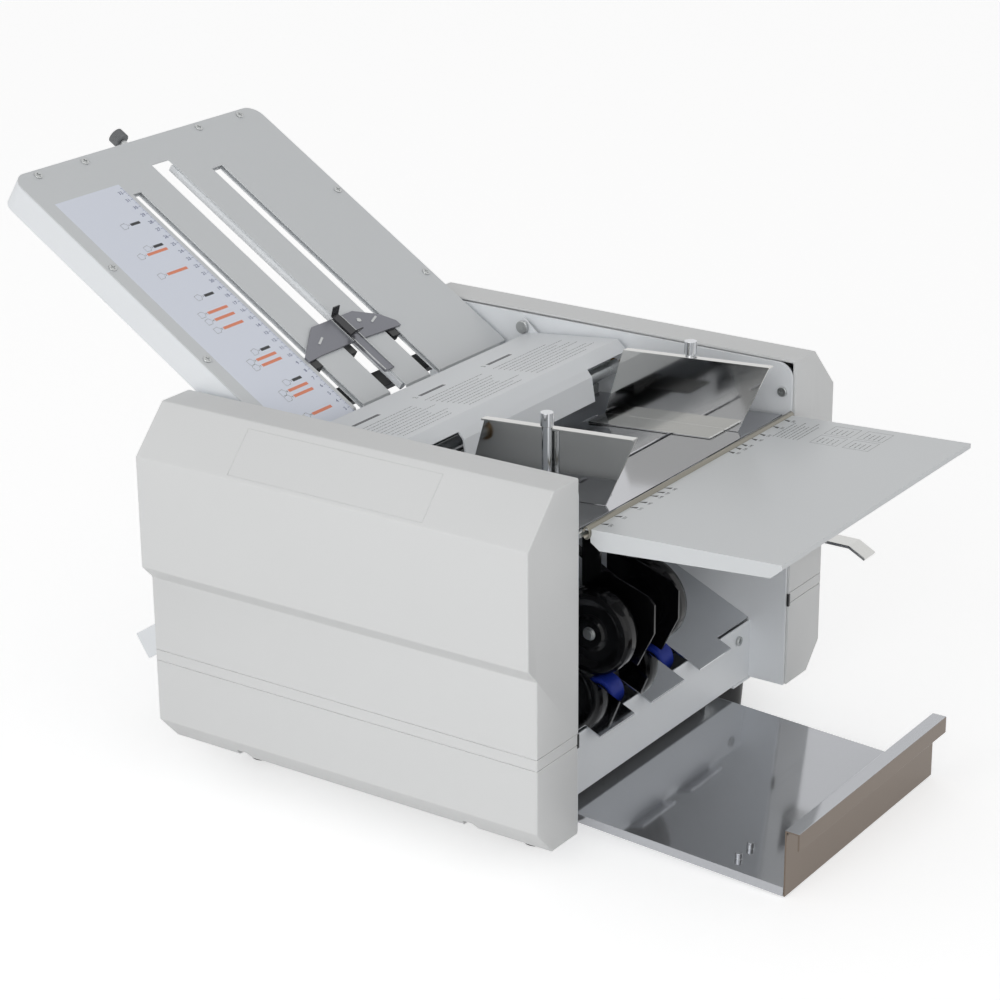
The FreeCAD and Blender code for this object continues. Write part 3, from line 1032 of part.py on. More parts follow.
def power():
    """Mains inlet and switch in one module behind the right cover's rear wall."""
    skin = "cover_depth"

    def box_at(name, wide, tall, high, y):
        return block(name, ("socket_across - (%s) / 2" % wide, "socket_across + (%s) / 2" % wide), y,
                     ("%s - (%s) / 2" % (high, tall), "%s + (%s) / 2" % (high, tall)))
    rim = box_at("inlet_rim", "inlet_wide", "inlet_tall", "inlet_high", (skin + " - inlet_deep", skin))
    well = box_at("inlet_hollow", "inlet_wide - 2 * inlet_wall", "inlet_tall - 2 * inlet_wall",
                  "inlet_high", (skin + " - inlet_well", skin + " + over"))
    prongs = [rod("inlet_prong_%d" % i, "y", "prong_round",
                  (skin + " - inlet_well", skin + " - prong_short"), spot)
              for i, spot in enumerate((("socket_across - prong_across", "inlet_high - prong_low"),
                                        ("socket_across + prong_across", "inlet_high - prong_low"),
                                        ("socket_across", "inlet_high + prong_top")))]
    bezel = box_at("switch_rim", "rocker_wide", "rocker_tall", "rocker_high",
                   (skin + " - switch_deep", skin))
    room = box_at("switch_room", "rocker_wide - 2 * switch_wall", "rocker_tall - 2 * switch_wall",
                  "rocker_high", (skin + " - switch_well", skin + " + over"))
    axis_spot = (skin + " - rocker_axis", "rocker_high")
    pin_bore = rod("rocker_pin_bore", "x", "rocker_pin + 2 * run_gap",
                   ("socket_across - rocker_wide / 2 - over", "socket_across + rocker_wide / 2 + over"),
                   axis_spot)
    bridge = block("inlet_bridge", ("socket_across - rocker_wide / 2", "socket_across + rocker_wide / 2"),
                   (skin + " - switch_deep", skin + " - cover_wall"),
                   ("inlet_high + inlet_tall / 2 - bridge_lap", "rocker_high - rocker_tall / 2 + bridge_lap"))
    case = fuse("power_case", cut("inlet_shell", rim, well), cut("switch_case", bezel, room, pin_bore),
                bridge)
    node(fuse("power_module", case, *prongs), "mains_inlet")
    half = "(rocker_wide / 2 - switch_wall - rocker_gap)"
    paddle = profile("rocker_body", "x", [
        (skin + " - rocker_deep", "rocker_high - rocker_foot"),
        (skin + " + rocker_proud", "rocker_high - rocker_tip"),
        (skin + " - rocker_dip", "rocker_high"), (skin + " - rocker_sunk", "rocker_high + rocker_tip"),
        (skin + " - rocker_deep", "rocker_high + rocker_foot")],
        ("socket_across - " + half, "socket_across + " + half))
    pin = rod("rocker_pin_rod", "x", "rocker_pin",
              ("socket_across - rocker_wide / 2 + rocker_pin_end",
               "socket_across + rocker_wide / 2 - rocker_pin_end"), axis_spot)
    node(fuse("rocker_solid", paddle, pin), "power_switch")


def check_and_write():
    """Refuse a failed object or shape, then write one file for each sub-part."""
    doc.recompute()
    bad = [o.Name for o in doc.Objects if {"Invalid", "Error"} & set(o.State)]
    bad += [o.Label for o in NODES if o.Shape.isNull() or not o.Shape.isValid() or not o.Shape.Solids]
    if bad:
        raise SystemExit("failed objects: " + ", ".join(bad))
    if len(NODES) > MOST_NODES or len({o.Label for o in NODES}) != len(NODES):
        raise SystemExit("too many sub-parts, or a name twice: %d" % len(NODES))
    os.makedirs("parts", exist_ok=True)
    for item in NODES:
        item.Shape.exportStep(os.path.join("parts", item.Label + ".step"))
    whole = Part.makeCompound([o.Shape for o in NODES]).BoundBox
    print(len(NODES), "sub-parts, box", [round(v, 3) for v in (
        whole.XMin, whole.XMax, whole.YMin, whole.YMax, whole.ZMin, whole.ZMax)])


def build():
    for sign, word in SIDES:
        cover(sign, word)
        side_frame(sign, word)
    bearings()
    base_and_panel()
    chute()
    heads = bars()
    feet()
    feed_table()
    lift_plate()
    for sign, word in SIDES:
        guide(sign, word)
    hood()
    feeding_drive()
    retard()
    infeed_guide()
    for word in "abcd":
        roller(word)
    gears()
    drive()
    delivery()
    tray()
    heads.append(upper_plate())
    node(group("screw_set", heads), "machine_screws")
    plate_rest()
    stop_parts()
    lower_plate()
    lever()
    console()
    power()
    check_and_write()


build()
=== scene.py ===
import json
import math
import random

import bmesh
import bpy
from mathutils import Matrix, Vector

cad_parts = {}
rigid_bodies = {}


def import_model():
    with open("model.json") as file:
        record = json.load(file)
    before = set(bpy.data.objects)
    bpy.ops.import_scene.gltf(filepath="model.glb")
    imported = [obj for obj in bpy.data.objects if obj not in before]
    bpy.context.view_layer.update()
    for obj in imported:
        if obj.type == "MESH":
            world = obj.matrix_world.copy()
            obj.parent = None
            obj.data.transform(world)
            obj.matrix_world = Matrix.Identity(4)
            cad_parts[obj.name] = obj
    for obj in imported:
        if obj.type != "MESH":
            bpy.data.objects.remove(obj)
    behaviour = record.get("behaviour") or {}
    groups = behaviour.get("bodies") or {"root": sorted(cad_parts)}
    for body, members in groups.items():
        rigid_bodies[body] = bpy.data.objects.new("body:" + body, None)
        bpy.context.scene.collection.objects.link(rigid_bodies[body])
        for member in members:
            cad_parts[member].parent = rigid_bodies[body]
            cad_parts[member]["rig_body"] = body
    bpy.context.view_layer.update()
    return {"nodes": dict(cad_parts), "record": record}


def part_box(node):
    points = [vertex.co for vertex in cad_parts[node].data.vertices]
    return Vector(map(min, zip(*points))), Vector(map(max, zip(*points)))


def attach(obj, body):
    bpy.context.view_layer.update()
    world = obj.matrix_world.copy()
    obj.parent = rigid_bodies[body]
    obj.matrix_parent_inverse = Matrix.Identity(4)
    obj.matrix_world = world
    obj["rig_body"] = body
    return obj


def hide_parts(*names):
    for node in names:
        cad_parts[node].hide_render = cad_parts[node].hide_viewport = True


# Desktop paper folding machine: the finish of every surface, round the CAD parts of the frame.
# Metres; X to the operator's right, Y to the rear, Z up from the desk.
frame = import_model()
MM = 0.001
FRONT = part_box("left_cover")[0].y           # the front faces of the two covers


def spot(x, deep, high):
    """A place in millimetres: across, behind the covers' front faces, above the desk."""
    return Vector((x * MM, FRONT + deep * MM, high * MM))


def slope(deep, high, angle):
    """The frame of a plate that starts at a depth and height and is turned about X."""
    return Matrix.Translation(spot(0, deep, high)) @ Matrix.Rotation(math.radians(angle), 4, "X")


# sizes in millimetres, angles in degrees
PLATE = slope(591.4, 490.3, 32.4)           # upper fold plate: -y runs down its slope
TABLE = slope(3, 286, -2.5)                 # feed table: -y runs forward from its hinge
TABLE_TOP = 3.8
HOOD = slope(177, 328, -math.degrees(math.atan2(10, 96)))
HOOD_SKIN, HOOD_PRINT = 0.02, 0.06
SEAM = 173.5                                # inner plane of a cover
FOOT, WAIST, BELLY, CROWN = 37.6, 59.5, 71.5, 34.9
SHOULDER, COVER_TOP, COVER_DEEP = 296.7, 335.8, 393
GROOVE = 0.8                                # depth of the lines round a cover's waist
GROOVE_TALL, GROOVES_AT = 1, (107.5, 117.5)
PANEL_NEAR, PANEL_FAR = 100, 296            # the blank panel on the left cover's slant
PANEL_LOW, PANEL_HIGH, PANEL_LINE = 0.13, 0.93, 0.7     # shares of the slant, and a width
RECESSES, RECESS_DEEP = ((69, 89), (305, 325)), (20, 35)
RECESS_SLANT = 5
CLIP_INNER, CLIP_OUTER, CLIP_LOW, CLIP_HIGH = 1.2, 1.6, 105, 117    # clips beside each cover's seam
FILM_TOP, INK_LOW, INK_TOP, NUMBER_TOP = 0.12, 0.14, 0.17, 0.18     # above the fold plate
MARK_LOW, LINE_TOP, MARK_TOP = 0.02, 0.05, 0.06         # above the feed table
DASH_HALF, DASH_GAP = 0.35, 0.9             # dashes that stand for print


# ---- node trees ------------------------------------------------------------------------------
def put(tree, kind, inputs=None, **settings):
    """Add a shader node; an input given a socket is linked, any other value is set."""
    made = tree.nodes.new(kind)
    for name, value in settings.items():
        setattr(made, name, value)
    for name, value in (inputs or {}).items():
        if isinstance(value, bpy.types.NodeSocket):
            tree.links.new(value, made.inputs[name])
        else:
            made.inputs[name].default_value = value
    return made


def node_group(name, inputs, outputs):
    """An empty node group with named sockets: its tree, its input node and its output node."""
    tree = bpy.data.node_groups.new(name, "ShaderNodeTree")
    for label, kind, value in inputs:
        socket = tree.interface.new_socket(label, in_out="INPUT", socket_type="NodeSocket" + kind)
        socket.default_value = value
    for label, kind in outputs:
        tree.interface.new_socket(label, in_out="OUTPUT", socket_type="NodeSocket" + kind)
    return tree, tree.nodes.new("NodeGroupInput").outputs, tree.nodes.new("NodeGroupOutput").inputs


def linear(red, green, blue):
    """A colour given in the 0 to 255 steps of a screen."""
    def one(value):
        share = value / 255
        return share / 12.92 if share <= 0.04045 else ((share + 0.055) / 1.055) ** 2.4
    return (one(red), one(green), one(blue), 1)


def mottle_group():
    """Broad soft patches and fine specks that shift a colour, and a roughness that follows them."""
    tree, given, out = node_group("soft_mottle", [
        ("Colour", "Color", (0.5, 0.5, 0.5, 1)), ("Shift", "Float", 0.04),
        ("Patch scale", "Float", 9), ("Speck scale", "Float", 1400),
        ("Roughness", "Float", 0.4), ("Roughness shift", "Float", 0.05)],
        [("Colour", "Color"), ("Roughness", "Float")])
    place = put(tree, "ShaderNodeTexCoord").outputs["Object"]
    patches = put(tree, "ShaderNodeTexNoise", {"Vector": place, "Scale": given["Patch scale"],
                                               "Detail": 3, "Roughness": 0.55}).outputs["Fac"]
    specks = put(tree, "ShaderNodeTexNoise", {"Vector": place, "Scale": given["Speck scale"],
                                              "Detail": 1}).outputs["Fac"]
    both = put(tree, "ShaderNodeMath", {0: patches, 1: specks}, operation="ADD").outputs[0]
    swing = put(tree, "ShaderNodeMath", {0: both, 1: 1.0}, operation="SUBTRACT").outputs[0]
    light = put(tree, "ShaderNodeMath", {0: swing, 1: given["Shift"], 2: 1.0},
                operation="MULTIPLY_ADD").outputs[0]
    shade = put(tree, "ShaderNodeHueSaturation", {"Color": given["Colour"], "Value": light})
    tree.links.new(shade.outputs["Color"], out["Colour"])
    rough = put(tree, "ShaderNodeMath", {0: swing, 1: given["Roughness shift"],
                                         2: given["Roughness"]}, operation="MULTIPLY_ADD")
    tree.links.new(rough.outputs[0], out["Roughness"])
    return tree


def grain_group():
    """A relief of fine noise, stretched along an axis where the surface was brushed or drawn."""
    tree, given, out = node_group("surface_grain", [
        ("Scale", "Float", 1), ("Along X", "Float", 1000), ("Along Y", "Float", 1000),
        ("Along Z", "Float", 1000), ("Depth", "Float", 0.00002), ("Strength", "Float", 0.2)],
        [("Normal", "Vector"), ("Height", "Float")])
    place = put(tree, "ShaderNodeTexCoord").outputs["Object"]
    pitch = put(tree, "ShaderNodeCombineXYZ", {"X": given["Along X"], "Y": given["Along Y"],
                                               "Z": given["Along Z"]}).outputs[0]
    spread = put(tree, "ShaderNodeVectorMath", {0: place, 1: pitch}, operation="MULTIPLY").outputs[0]
    noise = put(tree, "ShaderNodeTexNoise", {"Vector": spread, "Scale": given["Scale"],
                                             "Detail": 2}).outputs["Fac"]
    relief = put(tree, "ShaderNodeBump", {"Height": noise, "Distance": given["Depth"],
                                          "Strength": given["Strength"]})
    tree.links.new(relief.outputs["Normal"], out["Normal"])
    tree.links.new(noise, out["Height"])
    return tree


MOTTLE = mottle_group()
GRAIN = grain_group()


def finish(name, colour, rough, shift=0.03, rough_shift=0.05, patch=9, speck=1400,
           grain=(1000, 1000, 1000), depth=0.00002, strength=0.2, **shader):
    """A finish: mottled colour and roughness over a fine relief; shader sets its other sockets."""
    made = bpy.data.materials.new(name)
    made.use_nodes = True
    tree = made.node_tree
    tree.nodes.clear()
    mottle = put(tree, "ShaderNodeGroup", node_tree=MOTTLE)
    for label, value in (("Colour", colour), ("Shift", shift), ("Patch scale", patch),
                         ("Speck scale", speck), ("Roughness", rough),
                         ("Roughness shift", rough_shift)):
        mottle.inputs[label].default_value = value
    relief = put(tree, "ShaderNodeGroup", node_tree=GRAIN)
    for label, value in zip(("Along X", "Along Y", "Along Z", "Depth", "Strength"),
                            (*grain, depth, strength)):
        relief.inputs[label].default_value = value
    surface = put(tree, "ShaderNodeBsdfPrincipled", {
        "Base Color": mottle.outputs["Colour"], "Roughness": mottle.outputs["Roughness"],
        "Normal": relief.outputs["Normal"]})
    for label, value in shader.items():
        surface.inputs[label.replace("_", " ")].default_value = value
    put(tree, "ShaderNodeOutputMaterial", {"Surface": surface.outputs[0]})
    return made


# ---- finishes --------------------------------------------------------------------------------
ACROSS = (60, 2600, 2600)
FINISHES = {
    "cover_paint": finish("cover_paint", linear(220, 221, 221), 0.42, depth=0.00004, strength=0.25,
                          shift=0.02, grain=(900, 900, 900)),
    "frame_paint": finish("frame_paint", linear(236, 239, 242), 0.34, depth=0.00003, strength=0.15,
                          shift=0.015),
    "satin_steel": finish("satin_steel", linear(214, 217, 219), 0.32, shift=0.02, depth=0.00002,
                          strength=0.15, Coat_Weight=0.15, Coat_Roughness=0.2),
    "bright_steel": finish("bright_steel", linear(205, 207, 210), 0.07, shift=0.03, rough_shift=0.03,
                           grain=ACROSS, depth=0.000004, strength=0.25, Metallic=1.0),
    "zinc_steel": finish("zinc_steel", linear(188, 190, 190), 0.3, shift=0.06, rough_shift=0.1,
                         patch=60, grain=ACROSS, depth=0.00001, strength=0.3, Metallic=1.0),
    "black_rubber": finish("black_rubber", linear(17, 18, 20), 0.38, shift=0.2, depth=0.00003,
                           strength=0.3),
    "blue_rubber": finish("blue_rubber", linear(24, 46, 140), 0.5, shift=0.08, depth=0.00003,
                          strength=0.3, Specular_IOR_Level=0.25),
    "black_plastic": finish("black_plastic", linear(22, 23, 25), 0.3, shift=0.15, depth=0.00003,
                            strength=0.2),
    "hood_plastic": finish("hood_plastic", linear(226, 229, 232), 0.36, shift=0.02, depth=0.00004,
                           strength=0.25),
    "roller_grey": finish("roller_grey", linear(92, 94, 97), 0.6, shift=0.08, grain=(3000, 700, 700),
                          depth=0.00004, strength=0.4),
    "gear_plastic": finish("gear_plastic", linear(222, 218, 204), 0.4, shift=0.03),
    "green_plastic": finish("green_plastic", linear(38, 132, 62), 0.22, shift=0.04),
    "bronze": finish("bronze", linear(176, 142, 98), 0.42, shift=0.1, speck=2600, Metallic=1.0),
    "gloss_black": finish("gloss_black", linear(9, 9, 11), 0.15, shift=0.2, depth=0.00001,
                          strength=0.1, Specular_IOR_Level=0.22, Coat_Weight=0.12,
                          Coat_Roughness=0.06),
    "lift_steel": finish("lift_steel", linear(178, 179, 183), 0.12, shift=0.04, rough_shift=0.04,
                         grain=ACROSS, depth=0.000004, strength=0.25, Metallic=1.0),
    "guide_steel": finish("guide_steel", linear(200, 200, 198), 0.07, shift=0.04, rough_shift=0.03,
                          grain=ACROSS, depth=0.000004, strength=0.3, Metallic=1.0),
    # stop_steel's brown tint is a painted reflection of a brown wall, on steel that is grey
    "stop_steel": finish("stop_steel", linear(119, 108, 98), 0.14, shift=0.08, rough_shift=0.06,
                         grain=ACROSS, depth=0.000006, strength=0.3, Metallic=1.0),
    "tray_steel": finish("tray_steel", linear(184, 186, 190), 0.08, shift=0.03, rough_shift=0.03,
                         grain=ACROSS, depth=0.000004, strength=0.25, Metallic=0.72),
    "hinge_steel": finish("hinge_steel", linear(136, 133, 124), 0.3, shift=0.06, grain=ACROSS,
                          depth=0.000008, strength=0.3, Metallic=1.0),
    "lever_steel": finish("lever_steel", linear(206, 206, 204), 0.24, shift=0.05, Metallic=1.0,
                          depth=0.00001, grain=ACROSS),
    "carriage_steel": finish("carriage_steel", linear(128, 129, 136), 0.34, shift=0.06,
                             Metallic=0.55, depth=0.00002),
    "clip_steel": finish("clip_steel", linear(66, 66, 68), 0.25, shift=0.1, Metallic=0.8),
    "dial_grey": finish("dial_grey", linear(112, 114, 116), 0.35, shift=0.1),
    "label_film": finish("label_film", linear(232, 237, 249), 0.3, shift=0.01, depth=0.00001),
    "ink_black": finish("ink_black", linear(38, 40, 44), 0.45, shift=0.05),
    "ink_grey": finish("ink_grey", linear(84, 86, 90), 0.45, shift=0.05),
    "ink_blue": finish("ink_blue", linear(38, 54, 112), 0.45, shift=0.05),
    "ink_orange": finish("ink_orange", linear(236, 140, 106), 0.45, shift=0.05),
}


# ---- meshes ----------------------------------------------------------------------------------
def piece(name, mesh, look, body, replaced=()):
    """Make a piece from a mesh in place: its finish, the body it rides on, the node it stands for."""
    made = bpy.data.objects.new(name, mesh)
    bpy.context.scene.collection.objects.link(made)
    mesh.materials.clear()
    mesh.materials.append(FINISHES[look])
    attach(made, body)
    if replaced:
        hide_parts(*replaced)
    return made


def to_mesh(name, shape, smooth=True):
    """A bmesh as a mesh, with outward faces."""
    bmesh.ops.recalc_face_normals(shape, faces=shape.faces)
    mesh = bpy.data.meshes.new(name)
    shape.to_mesh(mesh)
    shape.free()
    for face in mesh.polygons:
        face.use_smooth = smooth
    return mesh


def applied(mesh, *modifiers):
    """The mesh after modifiers, each given as (kind, settings)."""
    holder = bpy.data.objects.new("bench", mesh)
    bpy.context.scene.collection.objects.link(holder)
    for kind, settings in modifiers:
        made = holder.modifiers.new(kind, kind)
        for name, value in settings.items():
            setattr(made, name, value)
    graph = bpy.context.evaluated_depsgraph_get()
    result = bpy.data.meshes.new_from_object(holder.evaluated_get(graph), depsgraph=graph)
    bpy.data.objects.remove(holder)
    return result


EDGE = math.radians(28)                      # an edge is rounded where its faces turn by more
LIT_TOP_RISE = 0.7                               # the least upward share of a face's normal for the tray stop's brighter finish, painted light on its top


def rounding(width, segments=2):
    return ("BEVEL", {"width": width * MM, "segments": segments, "limit_method": "ANGLE",
                      "angle_limit": EDGE, "use_clamp_overlap": True, "miter_outer": "MITER_ARC"})


EVEN = ("WEIGHTED_NORMAL", {"weight": 60, "keep_sharp": True})


def welded(node):
    """A CAD node's own surface with its shared points joined and its flat faces whole."""
    shape = bmesh.new()
    shape.from_mesh(frame["nodes"][node].data)
    bmesh.ops.remove_doubles(shape, verts=shape.verts, dist=0.000004)
    bmesh.ops.dissolve_limit(shape, angle_limit=math.radians(0.6), verts=shape.verts, edges=shape.edges)
    return to_mesh(node + "_shape", shape)


def dress(node, look, width=0.3, segments=2, cutters=()):
    """The node's surface with its edges eased, and with cuts made after that."""
    mesh = applied(welded(node), rounding(width, segments), EVEN)
    for cutter in cutters:
        tool = bpy.data.objects.new("cutter", cutter)
        bpy.context.scene.collection.objects.link(tool)
        mesh = applied(mesh, ("BOOLEAN", {"object": tool, "operation": "DIFFERENCE",
                                          "solver": "EXACT"}))
        bpy.data.objects.remove(tool)
    body = frame["nodes"][node]["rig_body"]
    return piece(node + "_finished", mesh, look, body, [node])


def node_centre(node):
    """The centre of a node's box: a turned part's axis runs through it."""
    low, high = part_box(node)
    return (low + high) / 2


def turned(outline, axis_point, axis, steps=72):
    """A lathe form: an outline of (along, radius) in millimetres, spun about an axis."""
    shape = bmesh.new()
    axis = Vector(axis).normalized()
    side = axis.orthogonal().normalized()
    ring = [shape.verts.new(axis_point + axis * along * MM + side * radius * MM)
            for along, radius in outline]
    edges = [shape.edges.new(pair) for pair in zip(ring, ring[1:])]
    bmesh.ops.spin(shape, geom=ring + edges, cent=axis_point, axis=axis, angle=math.tau, steps=steps,
                   use_merge=True, use_normal_flip=False)
    bmesh.ops.remove_doubles(shape, verts=shape.verts, dist=0.000001)
    return shape


def eased(points, radius, steps=4):
    """An open outline with its inner corners turned into arcs."""
    done = [points[0]]
    for before, corner, after in zip(points, points[1:], points[2:]):
        here = Vector(corner)
        arms = [Vector(before) - here, Vector(after) - here]
        turn = arms[0].angle(arms[1], math.pi)
        reach = min(radius / math.tan(turn / 2), arms[0].length / 2, arms[1].length / 2) \
            if turn < math.radians(178) else 0
        if reach < 0.001:
            done.append(corner)
            continue
        start, end = (here + arm.normalized() * reach for arm in arms)
        for i in range(steps + 1):
            t = i / steps
            done.append(tuple((1 - t) ** 2 * start + 2 * t * (1 - t) * here + t ** 2 * end))
    return done + [points[-1]]


def wheel_outline(half, rim, bore, easing):
    """A ring's section, from its bore round the rim and back."""
    return eased([(0, bore), (-half, bore), (-half, rim), (half, rim), (half, bore), (0, bore)], easing, 6)


def prism(shape, outline, low, high, place=Matrix()):
    """Add a straight-sided solid: an outline in x and y, between two heights, in millimetres."""
    rings = [[shape.verts.new(place @ Vector((x * MM, y * MM, z * MM))) for x, y in outline]
             for z in (low, high)]
    shape.faces.new(rings[0][::-1])
    shape.faces.new(rings[1])
    for i in range(len(outline)):
        j = (i + 1) % len(outline)
        shape.faces.new((rings[0][i], rings[0][j], rings[1][j], rings[1][i]))


def oblong(shape, x0, x1, y0, y1, low, high, place=Matrix()):
    prism(shape, [(x0, y0), (x1, y0), (x1, y1), (x0, y1)], low, high, place)


def outline_ring(shape, corners, width, low, high, place=Matrix()):
    """Add a thin line that runs round a convex outline, as one closed ring."""
    middle = sum((Vector(c) for c in corners), Vector((0, 0))) / len(corners)
    inner = [Vector(c) + (middle - Vector(c)).normalized() * width for c in corners]
    loops = [[shape.verts.new(place @ Vector((x * MM, y * MM, z * MM))) for x, y in loop]
             for loop, z in ((corners, low), (corners, high), (inner, high), (inner, low))]
    for first, second in zip(loops, loops[1:] + loops[:1]):
        for i in range(len(corners)):
            j = (i + 1) % len(corners)
            shape.faces.new((first[i], first[j], second[j], second[i]))


def joined(shape, mesh, place):
    """Add a mesh to a bmesh, moved by a matrix."""
    mesh.transform(place)
    shape.from_mesh(mesh)
    bpy.data.meshes.remove(mesh)


FONT_OVER_CAPITAL = 1.4                      # a font's size over the height of its capitals


def letter(shape, text, x, y, tall, place, low, high):
    """Add plain characters of a height at a place on a surface."""
    curve = bpy.data.curves.new("mark", "FONT")
    curve.body = text
    curve.size = tall * MM * FONT_OVER_CAPITAL
    curve.align_x = curve.align_y = "CENTER"
    curve.extrude = (high - low) / 2 * MM
    curve.resolution_u = 2
    holder = bpy.data.objects.new("mark", curve)
    bpy.context.scene.collection.objects.link(holder)
    graph = bpy.context.evaluated_depsgraph_get()
    mesh = bpy.data.meshes.new_from_object(holder.evaluated_get(graph), depsgraph=graph)
    bpy.data.objects.remove(holder)
    lift = Vector((x * MM, y * MM, (low + high) / 2 * MM))
    joined(shape, mesh, place @ Matrix.Translation(lift))


# ---- covers ----------------------------------------------------------------------------------
def cover_cuts(sign):
    """The fine lines round the waist, the blank panel's outline and the two foot recesses."""
    def flat(x):
        return sign * x
    lines = bmesh.new()
    inner, outer, over = SEAM - 3, SEAM + WAIST + 3, 2
    for high in GROOVES_AT:
        prism(lines, [(flat(x), y) for x, y in (
            (inner, -over), (outer, -over), (outer, COVER_DEEP + over), (inner, COVER_DEEP + over),
            (inner, COVER_DEEP - GROOVE), (SEAM + WAIST - GROOVE, COVER_DEEP - GROOVE),
            (SEAM + WAIST - GROOVE, GROOVE), (inner, GROOVE))],
              high, high + GROOVE_TALL, Matrix.Translation((0, FRONT, 0)))
    cuts = [lines]
    bevel = Matrix((Vector((flat(BELLY - CROWN), 0, SHOULDER - COVER_TOP)).normalized(),
                    Vector((0, 1, 0)),
                    Vector((flat(COVER_TOP - SHOULDER), 0, BELLY - CROWN)).normalized())).transposed()
    place = Matrix.Translation(spot(flat(SEAM + CROWN), 0, COVER_TOP)) @ bevel.to_4x4()
    slant = math.hypot(BELLY - CROWN, COVER_TOP - SHOULDER)
    if sign < 0:
        panel = bmesh.new()
        low, high = slant * PANEL_LOW, slant * PANEL_HIGH
        outline_ring(panel, [(low, PANEL_NEAR), (high, PANEL_NEAR), (high, PANEL_FAR),
                             (low, PANEL_FAR)], PANEL_LINE, -PANEL_LINE / 2, 2, place)
        cuts.append(panel)
    upright = Matrix(((0, 0, 1), (1, 0, 0), (0, 1, 0))).to_4x4()
    low, high = RECESS_DEEP
    for near, far in RECESSES:
        recess = bmesh.new()
        prism(recess, [(near, low), (far, low), (far - RECESS_SLANT, high), (near + RECESS_SLANT, high)],
              *sorted((flat(SEAM + FOOT - 8), flat(SEAM + WAIST + 4))),
              Matrix.Translation((0, FRONT, 0)) @ upright)
        cuts.append(recess)
    return [to_mesh("cover_cut", cut, False) for cut in cuts]


def covers():
    for sign, side in ((-1, "left"), (1, "right")):
        dress(side + "_cover", "cover_paint", 1.4, 3, cover_cuts(sign))
        dress(side + "_side_frame", "frame_paint", 0.4)
    clips = bmesh.new()
    for sign in (-1, 1):
        oblong(clips, *sorted((sign * (SEAM - CLIP_INNER), sign * (SEAM + CLIP_OUTER))), -0.4, 1.6,
               CLIP_LOW, CLIP_HIGH, Matrix.Translation((0, FRONT, 0)))
    piece("cover_clips", applied(to_mesh("clips", clips), rounding(0.3)), "black_plastic", "chassis")


# ---- upper fold plate ------------------------------------------------------------------------
LABEL_LEFT, LABEL_RIGHT, LABEL_FROM, LABEL_TO = -150.5, -68.4, 42, 352
CENTIMETRE = 10
SCALE_ZERO = 372                             # where the scale would read nought, down the slope
SCALE_FROM, SCALE_TO = 2, 33                 # in centimetres


def scale_label():
    """The printed film beside the first slot, with a plain centimetre scale; its fold bars and sheet marks
    come from fold_bars.
    """
    film = bmesh.new()
    oblong(film, LABEL_LEFT, LABEL_RIGHT, -LABEL_TO, -LABEL_FROM, 0.01, FILM_TOP, PLATE)
    piece("scale_label", to_mesh("scale_label", film, False), "label_film", "chassis")
    ticks, numbers = bmesh.new(), bmesh.new()
    for reading in range(SCALE_FROM * CENTIMETRE, SCALE_TO * CENTIMETRE + 1):
        down = SCALE_ZERO - reading
        if not LABEL_FROM + 4 < down < LABEL_TO:
            continue
        if reading % CENTIMETRE == 0:
            long, half = 3.4, 0.18
            letter(numbers, str(reading // CENTIMETRE), LABEL_RIGHT - 7, -down, 3.7, PLATE,
                   low=INK_LOW, high=NUMBER_TOP)
        elif reading % (CENTIMETRE // 2) == 0:
            long, half = 2.2, 0.18
        else:
            long, half = 1.5, 0.1
        oblong(ticks, LABEL_RIGHT - long, LABEL_RIGHT - 0.4, -down - half, -down + half, INK_LOW,
               INK_TOP, PLATE)
    piece("scale_ticks", to_mesh("scale_ticks", ticks, False), "ink_blue", "chassis")
    piece("scale_numbers", to_mesh("scale_numbers", numbers, False), "ink_blue", "chassis")


BARS = (("black", -98, -86, (88, 118, 184, 256, 296)),
        ("orange", -112, -86, (124, 150, 202, 211, 222, 264, 271, 304, 311, 334)))


def fold_bars():
    """Coloured bars beside the scale, each with a small folded-sheet mark and a plain number."""
    marks, numbers = bmesh.new(), bmesh.new()
    for ink, left, right, downs in BARS:
        bars = bmesh.new()
        for i, down in enumerate(downs):
            oblong(bars, left, right, -down - 1.5, -down + 1.5, INK_LOW, INK_TOP, PLATE)
            centre = Vector((left - 7, -down))
            corners = [centre + Vector(c) for c in ((-4, -3), (1.5, -3), (4, 0.5), (1.5, 4), (-4, 3))]
            outline_ring(marks, corners, 0.3, INK_LOW, INK_TOP, PLATE)
            letter(numbers, str(i + 1), left - 1.8, -down, 2, PLATE, low=INK_LOW, high=NUMBER_TOP)
        piece("fold_bars_" + ink, to_mesh("bars", bars, False), "ink_" + ink, "chassis")
    piece("fold_marks", to_mesh("fold_marks", marks, False), "ink_grey", "chassis")
    piece("fold_numbers", to_mesh("fold_numbers", numbers, False), "ink_black", "chassis")


STOP_TOP = 2.3                               # the carriage's upper face above the plate
# The ribs are real; their lighter zinc finish is partly painted edge highlight.
RIB_HALF, RIB_RISE, GLINT_BAR_WIDE, GLINT_BAR_RISE = 0.45, 1.1, 2.2, 0.7
STOP_RIBS = ((-0.5, 285, 255.8), (1.5, 324.5, 281.5), (13.4, 324.5, 255.8))     # across, near, far
# Pale bars on the wings: painted highlights where bright slots show.
STOP_GLINT_BARS = (((-28.2, -269.4), (-38.2, -274.5)), ((49.6, -270), (39.1, -273.8)))
STOP_RIVET = (28, -267)
RIVET_SECTION = [(0, 0), (0, 2.6), (0.6, 2.4), (1.1, 1.6), (1.3, 0)]


def band(shape, start, end, width, low, high, place):
    """Add a straight bar between two points, of a width."""
    run = Vector(end) - Vector(start)
    off = Vector((-run.y, run.x)).normalized() * (width / 2)
    corners = [Vector(start) - off, Vector(end) - off, Vector(end) + off, Vector(start) + off]
    prism(shape, [tuple(c) for c in corners], low, high, place)


